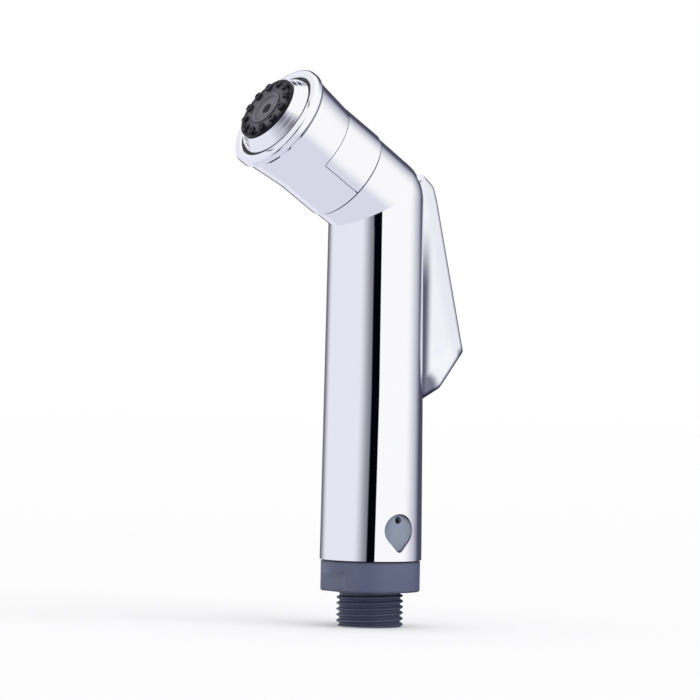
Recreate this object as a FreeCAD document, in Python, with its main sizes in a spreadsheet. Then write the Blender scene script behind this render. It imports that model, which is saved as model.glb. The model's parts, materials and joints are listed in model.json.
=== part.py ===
import FreeCAD, Part
import os
import re
import Sketcher

# A pistol-shaped spray handset: a tapering chrome handle with a mitred bend, a head that is turned
# to change the spray, a trigger on the back and a threaded water inlet at the foot.
# Frame: origin in the middle of the thread's end face, +Z up the handle, -X the way the head
# points, +X the trigger's side. The head's pieces are drawn along their own axis, from the bend.

os.makedirs("parts", exist_ok=True)
doc = FreeCAD.newDocument("spray_handset")
sheet = doc.addObject("Spreadsheet::Sheet", "Sizes")

# Driving sizes in millimetres and degrees.
SIZES = {
    # inlet thread, collar and water way
    "thread_radius": 10.4775,
    "thread_length": 11.1,
    "thread_lead": 0.5,
    "waterway_radius": 5.0,
    "collar_height": 9.6,
    "collar_step": 0.4,
    "collar_edge": 0.5,
    "flat_depth": 1.6,
    "flat_height": 5.6,
    "seam": 0.3,
    # handle, bend and neck
    "handle_bottom_radius": 16.0,
    "handle_top_radius": 15.0,
    "bend_height": 133.6,
    "head_tilt": 57.0,
    "wall": 2.4,
    "neck_end": 14.5,
    "neck_flare": 0.25,
    # drop-shaped windows and the snap tongues in them
    "window_radius": 5.15,
    "window_rise": 9.65,
    "window_drop": 7.6,
    "window_tip": 1.5,
    "window_gap": 0.2,
    "tongue_recess": 1.1,
    "tongue_half_width": 6.2,
    "tongue_slot": 1.2,
    "release_radius": 1.15,
    "release_rise": 3.2,
    "sleeve_length": 19.0,
    "sleeve_wall": 1.6,
    "collar_floor": 3.0,
    # clearances: pieces that are fixed, pieces that run, faces that only meet
    "fit": 0.1,
    "running": 0.05,
    "face_gap": 0.05,
    # stand pipe between inlet and valve
    "plug_radius": 6.9,
    "plug_length": 15.6,
    "socket_wall": 1.6,
    "socket_relief": 0.4,
    "flange_height": 1.8,
    "pipe_radius": 6.0,
    "pipe_bore": 4.2,
    "ring_section": 0.9,
    "ring_play": 0.4,
    # cross barrel of the valve
    "valve_drop": 33.6,
    "barrel_radius": 7.4,
    "barrel_back_gap": 0.6,
    "barrel_front": 7.5,
    "nose_radius": 5.9,
    "nose_front": 9.3,
    "chamber_radius": 5.0,
    "seat_face": 1.0,
    "seat_radius": 2.7,
    "seat_thickness": 2.0,
    "bonnet_radius": 4.6,
    "bonnet_length": 2.9,
    "inlet_port": 1.9,
    "outlet_port": 1.6,
    "cap_flange": 1.0,
    "cap_plug": 1.2,
    "stem_radius": 1.5,
    "stem_stand": 3.4,
    "disc_radius": 3.6,
    "disc_thickness": 1.0,
    "washer_thickness": 1.35,
    "retainer_radius": 2.2,
    "retainer_thickness": 0.6,
    "guide_length": 2.2,
    "spring_radius": 3.0,
    "spring_wire": 0.3,
    "spring_turns": 4.0,
    "gland_section": 0.7,
    # outlet elbow
    "elbow_radius": 16.0,
    "elbow_pipe": 4.1,
    "elbow_bore": 2.8,
    "elbow_plug": 5.3,
    "elbow_plug_length": 5.4,
    "elbow_lip": 1.2,
    "elbow_section": 0.65,
    "socket_depth": 8.0,
    # trigger
    "trigger_width": 16.0,
    "trigger_wall": 1.8,
    "slot_gap": 0.4,
    "slot_end_gap": 0.7,
    "pivot_depth": 8.6,
    "pivot_rise": 2.8,
    "pin_radius": 1.5,
    "trunnion_radius": 2.8,
    "ear_radius": 3.0,
    "ear_gap": 0.3,
    "crown_rise": 8.4,
    "crown_inset": 1.5,
    "shoulder_reach": 3.9,
    "brow_reach": 2.4,
    "brow_rise": 5.0,
    "tip_reach": 14.9,
    "tip_drop": 47.0,
    "belly_reach": 6.0,
    "belly_drop": 58.7,
    "heel_drop": 63.2,
    "trigger_inset": 3.7,
    "trigger_edge": 2.6,
    "crown_round": 1.0,
    "brow_round": 5.0,
    "tip_round": 0.8,
    "heel_trim": 1.3,
    "trunnion_gap": 1.1,
    "rib_width": 1.4,
    "pad_radius": 2.6,
    "pad_gap": 0.3,
    # turning head
    "plug_start": 8.0,
    "land_step": 0.25,
    "spigot_front": 33.0,
    "relief_depth": 16.0,
    "hex_radius": 5.3,
    "hex_start": 20.0,
    "hex_gap": 0.1,
    "spigot_groove": 27.0,
    "cam_place": 19.6,
    "cam_pin": 1.2,
    "cam_depth": 1.1,
    "cam_pitch": 6.4,
    "band_length": 14.55,
    "band_rise": 0.4,
    "band_thickness": 1.35,
    "band_sweep": 239.0,
    "band_gap": 0.2,
    "seam_sweep": 1.3,
    "ring_flare": 1.3,
    "ring_flare_end": 42.3,
    "lip_rise": 0.85,
    "lip_back": 43.4,
    "lip_front": 45.9,
    "lip_round": 1.1,
    "lip_width": 3.1,
    "web_thickness": 1.2,
    "chamber_step": 1.3,
    "front_step": 0.8,
    "front_shoulder": 38.2,
    # nozzle
    "plate_rise": 0.3,
    "plate_rim_thickness": 1.1,
    "shank_bore": 2.6,
    "cross_port": 0.9,
    "bezel_width": 3.1,
    "insert_face": 49.9,
    "insert_flange": 2.8,
    "nub_count": 12,
    "nub_radius": 1.5,
    "nub_height": 1.0,
    "nub_hole": 0.5,
    "core_face": 50.3,
    "core_flange": 1.6,
    "jet_radius": 1.8,
    "core_rim": 0.6,
    "bezel_step": 0.7,
    "bezel_ledge": 0.3,
    "bezel_rise": 1.2,
    "bezel_sink": 0.4,
    # shares of the room from the elbow's socket out to the neck's bore
    "relief_inner_share": 0.36,
    "relief_outer_share": 0.69,
    # shares of the room from the hexagon out to the chamber's wall
    "seal_inner_share": 0.048,
    "seal_outer_share": 0.253,
    "hub_share": 0.315,
    "web_share": 0.384,
    "rim_share": 0.575,
    # shares of the insert's radius, and of the width of its face outside the core
    "core_share": 0.52,
    "nub_share": 0.6,
}

# Places that follow from the sizes.
WORKED_OUT = {
    "collar_top": "thread_length + collar_height",
    "foot": "collar_top + seam",
    "taper": "(handle_bottom_radius - handle_top_radius) / (bend_height - foot)",
    "foot_bore": "handle_bottom_radius - wall",
    "bore_radius": "handle_top_radius - wall",
    "window_height": "foot + window_rise",
    "sleeve_top": "foot + sleeve_length",
    "sleeve_top_radius": "foot_bore - taper * sleeve_length - fit",
    "cavity_radius": "sleeve_top_radius - sleeve_wall",
    "cavity_floor": "thread_length + collar_floor",
    "socket_radius": "plug_radius + fit",
    "socket_floor": "cavity_floor + collar_floor",
    "plug_bottom": "socket_floor + socket_relief",
    "socket_top": "plug_bottom + plug_length",
    "valve_height": "bend_height - valve_drop",
    "barrel_back": "sqrt(bore_radius * bore_radius - barrel_radius * barrel_radius) - barrel_back_gap",
    "stem_bore": "stem_radius + running",
    "stem_reach": "nose_front + stem_stand",
    "washer_front": "seat_face - face_gap",
    "disc_front": "washer_front - washer_thickness",
    "disc_back": "disc_front - disc_thickness",
    "gland_depth": "2 * gland_section + running",
    "elbow_socket": "elbow_plug + fit",
    "tube_start": "valve_height + chamber_radius + cap_flange + fit",
    "lower_socket_floor": "valve_height + barrel_radius + collar_floor / 2",
    "elbow_start": "lower_socket_floor + socket_relief",
    "lower_socket_top": "lower_socket_floor + socket_depth",
    "elbow_end": "plug_start + socket_depth - socket_relief",
    "elbow_reach": "elbow_radius * tan(head_tilt / 2)",
    "slot_half": "trigger_width / 2 + slot_gap",
    "pivot_x": "handle_top_radius - pivot_depth",
    "pivot_height": "bend_height + pivot_rise",
    "crown_height": "bend_height + crown_rise",
    "tip_height": "bend_height - tip_drop",
    "belly_height": "bend_height - belly_drop",
    "heel_height": "bend_height - heel_drop",
    "trigger_inner": "handle_top_radius - trigger_inset",
    "shoulder_x": "handle_top_radius + shoulder_reach",
    "tip_x": "handle_top_radius + tip_reach",
    "pin_half": "slot_half - fit",
    "trunnion_half": "trigger_width / 2 - trigger_wall + slot_gap",
    "ear_start": "trunnion_half + ear_gap",
    "pad_face": "stem_reach + pad_gap",
    "pad_back": "shoulder_x + (tip_x - shoulder_x) * valve_drop / tip_drop - trigger_wall / 2",
    "land_radius": "bore_radius + land_step",
    "socket_room": "bore_radius - elbow_socket",
    "relief_inner": "elbow_socket + socket_room * relief_inner_share",
    "relief_outer": "elbow_socket + socket_room * relief_outer_share",
    "band_radius": "handle_top_radius + neck_flare + band_rise",
    "ring_front_radius": "band_radius + ring_flare",
    "lip_radius": "ring_front_radius + lip_rise",
    "lip_inner": "lip_radius - lip_width",
    "front_bore": "lip_inner - front_step",
    "chamber_bore": "front_bore - chamber_step",
    "chamber_room": "chamber_bore - hex_radius",
    "seal_inner": "hex_radius + chamber_room * seal_inner_share",
    "seal_outer": "hex_radius + chamber_room * seal_outer_share",
    "plate_hub": "hex_radius + chamber_room * hub_share",
    "web_radius": "hex_radius + chamber_room * web_share",
    "plate_rim": "hex_radius + chamber_room * rim_share",
    "insert_radius": "front_bore - bezel_width",
    "core_radius": "insert_radius * core_share",
    "nub_circle": "core_radius + (insert_radius - core_radius) * nub_share",
    "band_start": "neck_end + seam",
    "band_end": "band_start + band_length",
    "band_floor": "band_radius - band_thickness",
    "sleeve_bore": "land_radius + running",
    "web_back": "spigot_front + seam / 2",
    "web_front": "web_back + web_thickness",
    "rim_back": "web_front + plate_rise",
    "plate_back": "spigot_front + plate_rise",
    "plate_front": "rim_back + plate_rim_thickness",
    "seal_back": "spigot_front + face_gap",
    "seal_front": "seal_back + plate_rim_thickness",
    "insert_back": "front_shoulder + face_gap",
    "bezel_back": "insert_back + insert_flange + face_gap",
    "nub_top": "insert_face + nub_height",
    "core_back": "plate_front + plate_rise",
}

ORIGIN = ("0", "0", "0")
BEND = ("0", "0", "bend_height")
DIRECTIONS = {
    "up": ((0, 0, 1), "0"),
    "back": ((0, 1, 0), "90"),
    "front": ((0, -1, 0), "90"),
    "side": ((-1, 0, 0), "90"),
    "head": ((0, -1, 0), "head_tilt"),
}


def formula(text):
    """The formula with each size replaced by its cell, and each worked out place by its formula."""
    def cell(match):
        word = match.group(0)
        if word in WORKED_OUT:
            return "(" + formula(WORKED_OUT[word]) + ")"
        if word in SIZES:
            return "Sizes." + word
        return word
    return re.sub(r"[a-z_]+", cell, str(text))


def value(text):
    """What a formula comes to with the sheet's present sizes."""
    return float(sheet.evalExpression(formula(text)))


def fill_sheet():
    """Writes each size as a plain number in a cell that bears its name."""
    for row, (name, size) in enumerate(SIZES.items(), start=1):
        sheet.set("A%d" % row, name)
        sheet.set("B%d" % row, str(size))
        sheet.setAlias("B%d" % row, name)
    doc.recompute()


def place(item, at=ORIGIN, along="up"):
    """Puts an object at a point, with its own Z axis turned to one of the named directions."""
    axis, angle = DIRECTIONS[along]
    start = FreeCAD.Rotation(FreeCAD.Vector(*axis), 1.0)
    item.Placement = FreeCAD.Placement(FreeCAD.Vector(0, 0, 0), start)
    item.setExpression("Placement.Rotation.Angle", formula(angle))
    for letter, text in zip("xyz", at):
        item.setExpression("Placement.Base." + letter, formula(text))


def new_body(name, at=ORIGIN, along="up"):
    """An empty body with a place of its own."""
    body = doc.addObject("PartDesign::Body", name)
    body.Label = name
    place(body, at, along)
    return body


def step(body, kind, name, **sizes):
    """One more feature of a body, with its sizes bound to formulas."""
    item = body.newObject("PartDesign::" + kind, body.Name + "_" + name)
    for size, text in sizes.items():
        item.setExpression(size, formula(text))
    return item


def cylinder(body, sign, name, radius, length, at=ORIGIN, along="up"):
    """Adds or cuts a cylinder that starts at a point and runs in a direction."""
    item = step(body, sign + "Cylinder", name, Radius=radius, Height=length)
    place(item, at, along)


def across(body, sign, name, radius, half, at_x, at_z):
    """Adds or cuts a cylinder across the part, as long on both sides of the middle."""
    cylinder(body, sign, name, radius, "2 * (%s)" % half, (at_x, "-(%s)" % half, at_z), "side")


def box(body, sign, name, low, high):
    """Adds or cuts a box between two corners."""
    spans = ["(%s) - (%s)" % (top, bottom) for bottom, top in zip(low, high)]
    item = step(body, sign + "Box", name, Length=spans[0], Width=spans[1], Height=spans[2])
    place(item, low)


def new_sketch(body, name, plane, rise=None):
    """An empty sketch in one of the body's own planes, or at a height above it."""
    sketch = body.newObject("Sketcher::SketchObject", body.Name + "_" + name)
    support = [item for item in body.Origin.OriginFeatures if item.Role == plane]
    sketch.AttachmentSupport = [(support[0], "")]
    sketch.MapMode = "FlatFace"
    if rise is not None:
        sketch.setExpression("AttachmentOffset.Base.z", formula(rise))
    return sketch


def hold(sketch, index, point, texts):
    """Holds a point of the sketch by its two distances from the sketch's origin."""
    for kind, text in zip(("DistanceX", "DistanceY"), texts):
        held = sketch.addConstraint(Sketcher.Constraint(kind, -1, 1, index, point, value(text)))
        sketch.setExpression("Constraints[%d]" % held, formula(text))


def hold_radius(sketch, index, text):
    """Holds the radius of a circle or arc of the sketch."""
    held = sketch.addConstraint(Sketcher.Constraint("Radius", index, value(text)))
    sketch.setExpression("Constraints[%d]" % held, formula(text))


def disc(body, name, plane, centre, radius, rise=None):
    """A sketch that holds one circle."""
    sketch = new_sketch(body, name, plane, rise)
    middle = FreeCAD.Vector(value(centre[0]), value(centre[1]), 0)
    sketch.addGeometry(Part.Circle(middle, FreeCAD.Vector(0, 0, 1), value(radius)))
    hold(sketch, 0, 3, centre)
    hold_radius(sketch, 0, radius)
    return sketch


def draw(body, name, corners, plane="XZ_Plane"):
    """A closed outline with straight sides, each corner held by its two distances."""
    sketch = new_sketch(body, name, plane)
    points = [FreeCAD.Vector(value(across_text), value(up_text), 0) for across_text, up_text in corners]
    count = len(corners)
    for index in range(count):
        sketch.addGeometry(Part.LineSegment(points[index], points[(index + 1) % count]))
    for index in range(count):
        sketch.addConstraint(Sketcher.Constraint("Coincident", index, 2, (index + 1) % count, 1))
    for index, texts in enumerate(corners):
        hold(sketch, index, 1, texts)
    return sketch


def turned(body, name, corners, kind="Revolution", sweep="360"):
    """Turns an outline round the body's own axis, evenly to both sides of the drawn plane."""
    item = step(body, kind, name, Angle=sweep)
    item.Profile = draw(body, name + "_outline", corners)
    item.ReferenceAxis = (item.Profile[0], ["V_Axis"])
    item.Midplane = sweep != "360"
    body.Tip = item
    return item


def plate(body, name, corners, width, kind="Pad"):
    """Adds or cuts an upright outline, evenly to both sides of the middle."""
    item = step(body, kind, name, Length=width)
    item.Profile = draw(body, name + "_outline", corners)
    item.Midplane = True
    body.Tip = item
    return item


def drop(body, kinds, name, scale):
    """A drop-shaped prism across the handle: a round top and a point below, tangent to it."""
    cylinder_kind, plate_kind = kinds
    radius = "(window_radius - %s)" % scale
    point = "(window_drop * %s / window_radius)" % radius
    half = "handle_bottom_radius * 1.5" if scale == "0" else "handle_bottom_radius - tongue_recess"
    side = "%s * sqrt(1 - %s * %s / (%s * %s))" % (radius, radius, radius, point, point)
    touch = "window_height - %s * %s / %s" % (radius, radius, point)
    across(body, cylinder_kind, name + "_round", radius, half, "0", "window_height")
    tip = "window_height - " + point
    corners = [("0", "window_height"), ("-(%s)" % side, touch), ("0", tip), (side, touch)]
    plate(body, name + "_point", corners, "2 * (%s)" % half, plate_kind)
    doc.recompute()
    low = value(tip)

    def at_tip(edge):
        ends = [vertex.Point for vertex in edge.Vertexes]
        return all(abs(end.x) < 0.01 and abs(end.z - low) < 0.01 for end in ends)
    soften(body, name + "_tip", "window_tip * %s / window_radius" % radius, at_tip)


def soften(body, name, radius, wanted, kind="Fillet", size="Radius"):
    """Rounds the edges of the body's present form that the test picks."""
    doc.recompute()
    base = body.Tip
    names = ["Edge%d" % number for number, edge in enumerate(base.Shape.Edges, start=1) if wanted(edge)]
    if not names:
        raise RuntimeError("no edge to round for " + name)
    item = step(body, kind, name, **{size: radius})
    item.Base = (base, names)
    doc.recompute()


def rims(*pairs):
    """A test for round edges about the body's own axis, each given by its radius and height."""
    wanted = [(value(radius), value(height)) for radius, height in pairs]

    def test(edge):
        if not isinstance(edge.Curve, Part.Circle):
            return False
        here = (edge.Curve.Radius, edge.Curve.Center.z)
        off = abs(edge.Curve.Center.x) + abs(edge.Curve.Center.y)
        close = [abs(here[0] - radius) + abs(here[1] - height) < 0.01 for radius, height in wanted]
        return off < 0.01 and any(close)
    return test


def upright(corner):
    """A test for edges that run across the part at one corner of its side outline."""
    place_x, place_z = value(corner[0]), value(corner[1])

    def test(edge):
        ends = [vertex.Point for vertex in edge.Vertexes]
        return all(abs(end.x - place_x) < 0.01 and abs(end.z - place_z) < 0.01 for end in ends)
    return test


def inset(corners, wall):
    """The corners of the outline that lies a wall inside one drawn clockwise."""
    found = []
    for index, here in enumerate(corners):
        unit = []
        for start, end in ((corners[index - 1], here), (here, corners[(index + 1) % len(corners)])):
            run = ["((%s) - (%s))" % (far, near) for near, far in zip(start, end)]
            length = "sqrt(%s * %s + %s * %s)" % (run[0], run[0], run[1], run[1])
            unit.append(["%s / %s" % (side, length) for side in run])
        scale = "%s / (1 + %s * %s + %s * %s)" % (wall, unit[0][0], unit[1][0], unit[0][1], unit[1][1])
        found.append(("%s + (%s + %s) * %s" % (here[0], unit[0][1], unit[1][1], scale),
                      "%s - (%s + %s) * %s" % (here[1], unit[0][0], unit[1][0], scale)))
    return found


def repeat(body, name, features, count):
    """Repeats features evenly round the body's own axis."""
    item = body.newObject("PartDesign::PolarPattern", body.Name + "_" + name)
    item.Originals = features
    axis = [piece for piece in body.Origin.OriginFeatures if piece.Role == "Z_Axis"]
    item.Axis = (axis[0], [""])
    item.Angle = 360
    item.setExpression("Occurrences", formula(count))
    body.Tip = item
    doc.recompute()


def along_from(base, along, distance):
    """The point that lies a distance from a base point in one of the named directions."""
    if along == "head":
        shift = ("-(%s) * sin(head_tilt)" % distance, "0", "(%s) * cos(head_tilt)" % distance)
    else:
        shift = ("0", "0", distance)
    return tuple("%s + %s" % pair for pair in zip(base, shift))


def eight_sided(centre, radius):
    """The corners of an eight-sided section of a ring or a wire, about a point of the drawn plane."""
    flat = "((%s) * tan(22.5))" % radius
    round_about = [("-" + flat, "-" + radius), (flat, "-" + radius), (radius, "-" + flat), (radius, flat),
                   (flat, radius), ("-" + flat, radius), ("-" + radius, flat), ("-" + radius, "-" + flat)]
    return [tuple("%s + %s" % pair for pair in zip(centre, corner)) for corner in round_about]


def packing_ring(name, centre, section, at, along="up"):
    """A rubber ring of nearly round section."""
    body = new_body(name, at, along)
    turned(body, "ring", eight_sided((centre, "0"), section))
    return body


def bend_wedge(body, sign, name, radius):
    """The round outer side of the bend: a slice of a ball between the handle's end and the neck's."""
    item = step(body, sign + "Sphere", name, Radius=radius, Angle3="head_tilt")
    item.Placement = FreeCAD.Placement(FreeCAD.Vector(0, 0, 0), FreeCAD.Rotation(FreeCAD.Vector(1, 0, 0), 90))
    item.setExpression("Placement.Base.z", formula("bend_height"))


def body_shell():
    """The chrome moulding: handle, bend and neck with an even wall, windows, trigger slot and ears."""
    body = new_body("body_shell")
    turned(body, "handle", [
        ("0", "foot"),
        ("handle_bottom_radius", "foot"),
        ("handle_top_radius", "bend_height"),
        ("0", "bend_height"),
    ])
    bend_wedge(body, "Additive", "bend", "handle_top_radius")
    neck = step(body, "AdditiveCone", "neck", Radius1="handle_top_radius",
                Radius2="handle_top_radius + neck_flare", Height="neck_end")
    place(neck, BEND, "head")
    cone = step(body, "SubtractiveCone", "handle_bore", Radius1="foot_bore", Radius2="bore_radius",
                Height="bend_height - foot")
    place(cone, ("0", "0", "foot"))
    bend_wedge(body, "Subtractive", "bend_bore", "bore_radius")
    cylinder(body, "Subtractive", "neck_bore", "bore_radius", "neck_end + wall", BEND, "head")
    drop(body, ("Subtractive", "Pocket"), "window", "0")
    slot_low = ("bore_radius / 2", "-slot_half", "heel_height - slot_end_gap - slot_gap")
    slot_high = ("handle_bottom_radius * 1.5", "slot_half", "crown_height + slot_end_gap")
    box(body, "Subtractive", "trigger_slot", slot_low, slot_high)
    ear_outer = "(pivot_x + ear_radius)"
    ear_reach = "sqrt(handle_top_radius * handle_top_radius - %s * %s)" % (ear_outer, ear_outer)
    ear_length = ear_reach + " - ear_start - wall / 2"
    for side, sign in (("left", ""), ("right", "-")):
        start = "ear_start" if sign == "" else "-(ear_start + %s)" % ear_length
        cylinder(body, "Additive", "ear_" + side, "ear_radius", ear_length,
                 ("pivot_x", start, "pivot_height"), "side")
    across(body, "Subtractive", "pin_seat", "pin_radius + running", "pin_half", "pivot_x", "pivot_height")
    mouth = "pin_radius * 0.85"
    box(body, "Subtractive", "pin_mouth", ("pivot_x", "-pin_half", "pivot_height - " + mouth),
        ("pivot_x + ear_radius", "pin_half", "pivot_height + " + mouth))
    return body


def inlet_core():
    """The blue-grey moulding: threaded inlet, collar with flats, sleeve with tongues, and socket."""
    body = new_body("inlet_core")
    turned(body, "plug", [
        ("0", "0"),
        ("thread_radius - thread_lead", "0"),
        ("thread_radius", "thread_lead"),
        ("thread_radius", "thread_length"),
        ("handle_bottom_radius - collar_step", "thread_length"),
        ("handle_bottom_radius - collar_step", "collar_top"),
        ("foot_bore - fit", "collar_top"),
        ("foot_bore - fit", "foot"),
        ("sleeve_top_radius", "sleeve_top"),
        ("0", "sleeve_top"),
    ])
    soften(body, "collar_edges", "collar_edge", rims(
        ("handle_bottom_radius - collar_step", "thread_length"),
        ("handle_bottom_radius - collar_step", "collar_top"),
    ))
    drop(body, ("Additive", "Pad"), "tongue", "window_gap")
    across(body, "Subtractive", "release", "release_radius", "handle_bottom_radius", "0",
           "window_height + release_rise")
    cylinder(body, "Subtractive", "cavity", "cavity_radius", "sleeve_top - cavity_floor",
             ("0", "0", "cavity_floor"))
    for side, sign in (("front", "-"), ("back", "")):
        near = "tongue_half_width"
        far = "(tongue_half_width + tongue_slot)"
        edges = (near, far) if sign == "" else ("-" + far, "-" + near)
        box(body, "Subtractive", "tongue_slot_" + side,
            (edges[0], "-handle_bottom_radius", "foot + tongue_slot"),
            (edges[1], "handle_bottom_radius", "sleeve_top"))
        flat = "(handle_bottom_radius - collar_step - flat_depth)"
        reach = "(handle_bottom_radius * 1.2)"
        spans = (flat, reach) if sign == "" else ("-" + reach, "-" + flat)
        box(body, "Subtractive", "flat_" + side, (spans[0], "-handle_bottom_radius", "thread_length"),
            (spans[1], "handle_bottom_radius", "thread_length + flat_height"))
    cylinder(body, "Additive", "socket_tube", "socket_radius + socket_wall",
             "socket_top - cavity_floor", ("0", "0", "cavity_floor"))
    cylinder(body, "Subtractive", "socket", "socket_radius", "socket_top - socket_floor",
             ("0", "0", "socket_floor"))
    cylinder(body, "Subtractive", "waterway", "waterway_radius", "socket_floor")
    return body


def valve_body():
    """The stand pipe with its plug, the cross barrel with two chambers, and the upper socket."""
    body = new_body("valve_body")
    groove_low = "plug_bottom + plug_length / 2"
    groove_high = groove_low + " + 2 * ring_section + ring_play"
    groove_floor = "plug_radius + fit / 2 - 2 * ring_section"
    turned(body, "stand_pipe", [
        ("0", "plug_bottom"),
        ("plug_radius", "plug_bottom"),
        ("plug_radius", groove_low),
        (groove_floor, groove_low),
        (groove_floor, groove_high),
        ("plug_radius", groove_high),
        ("plug_radius", "socket_top"),
        ("socket_radius + socket_wall", "socket_top"),
        ("socket_radius + socket_wall", "socket_top + flange_height"),
        ("pipe_radius", "socket_top + flange_height"),
        ("pipe_radius", "tube_start"),
        ("elbow_socket + socket_wall", "tube_start"),
        ("elbow_socket + socket_wall", "lower_socket_top"),
        ("0", "lower_socket_top"),
    ])
    cylinder(body, "Additive", "barrel", "barrel_radius", "barrel_back + barrel_front",
             ("-barrel_back", "0", "valve_height"), "back")
    cylinder(body, "Additive", "nose", "nose_radius", "nose_front", ("0", "0", "valve_height"), "back")
    cylinder(body, "Subtractive", "pipe_bore", "pipe_bore",
             "valve_height - barrel_radius - plug_bottom", ("0", "0", "plug_bottom"))
    cylinder(body, "Subtractive", "spring_chamber", "chamber_radius", "barrel_back + seat_face",
             ("-barrel_back", "0", "valve_height"), "back")
    cylinder(body, "Subtractive", "seat_hole", "seat_radius", "nose_front",
             ("0", "0", "valve_height"), "back")
    cylinder(body, "Subtractive", "outlet_chamber", "bonnet_radius",
             "nose_front - seat_face - seat_thickness",
             ("seat_face + seat_thickness", "0", "valve_height"), "back")
    cylinder(body, "Subtractive", "inlet_port", "inlet_port", "barrel_radius",
             ("inlet_port + fit - pipe_bore", "0", "valve_height - barrel_radius - fit"))
    port_x = "(seat_face + seat_thickness + outlet_port + fit)"
    cylinder(body, "Subtractive", "outlet_port", "outlet_port", "lower_socket_floor - valve_height + fit",
             (port_x, "0", "valve_height"))
    cylinder(body, "Subtractive", "elbow_socket", "elbow_socket", "socket_depth",
             ("0", "0", "lower_socket_floor"))
    return body


def valve_trim():
    """The spring cap and the stem bonnet that close the barrel, and the stem's rubber ring."""
    cap = new_body("spring_cap", ("0", "0", "valve_height"), "front")
    turned(cap, "cap", [
        ("0", "barrel_back - cap_plug"),
        ("chamber_radius - running", "barrel_back - cap_plug"),
        ("chamber_radius - running", "barrel_back"),
        ("chamber_radius + cap_flange", "barrel_back"),
        ("chamber_radius + cap_flange", "barrel_back + cap_flange"),
        ("0", "barrel_back + cap_flange"),
    ])
    bonnet = new_body("stem_bonnet", ("0", "0", "valve_height"), "back")
    bonnet_back = "(nose_front - bonnet_length)"
    turned(bonnet, "bonnet", [
        ("stem_bore", bonnet_back + " + gland_depth"),
        ("stem_bore + 2 * gland_section", bonnet_back + " + gland_depth"),
        ("stem_bore + 2 * gland_section", bonnet_back),
        ("bonnet_radius - running", bonnet_back),
        ("bonnet_radius - running", "nose_front"),
        ("stem_bore", "nose_front"),
    ])
    ring = packing_ring("stem_oring", "stem_bore + gland_section", "gland_section",
                        (bonnet_back + " + gland_section", "0", "valve_height"), "back")
    return [cap, bonnet, ring]


def valve_stem():
    """The moving stem with its disc, the rubber washer, and the push-on retainer of the washer."""
    at = ("0", "0", "valve_height")
    stem = new_body("valve_stem", at, "back")
    turned(stem, "stem", [
        ("0", "disc_back - guide_length"),
        ("stem_radius", "disc_back - guide_length"),
        ("stem_radius", "disc_back"),
        ("disc_radius", "disc_back"),
        ("disc_radius", "disc_front"),
        ("stem_radius", "disc_front"),
        ("stem_radius", "stem_reach"),
        ("0", "stem_reach"),
    ])
    soften(stem, "stem_end", "stem_radius / 3", rims(("stem_radius", "stem_reach")))
    washer = new_body("seat_washer", at, "back")
    turned(washer, "washer", [
        ("stem_radius", "disc_front"),
        ("disc_radius + fit", "disc_front"),
        ("disc_radius + fit", "washer_front"),
        ("stem_radius", "washer_front"),
    ])
    retainer = new_body("washer_retainer", at, "back")
    turned(retainer, "retainer", [
        ("stem_radius", "washer_front"),
        ("retainer_radius", "washer_front"),
        ("retainer_radius", "washer_front + retainer_thickness"),
        ("stem_radius", "washer_front + retainer_thickness"),
    ])
    return [stem, washer, retainer]


def valve_spring():
    """The round-wire spring that holds the stem's disc on its seat."""
    body = new_body("valve_spring", ("0", "0", "valve_height"), "back")
    low = "(cap_plug - barrel_back + 1.5 * spring_wire)"
    high = "(disc_back - 1.5 * spring_wire)"
    item = step(body, "AdditiveHelix", "coil", Height=high + " - " + low, Turns="spring_turns")
    item.Profile = draw(body, "wire", eight_sided(("spring_radius", low), "spring_wire"))
    item.ReferenceAxis = (item.Profile[0], ["V_Axis"])
    item.Mode = "height-turns-angle"
    body.Tip = item
    return body


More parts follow.
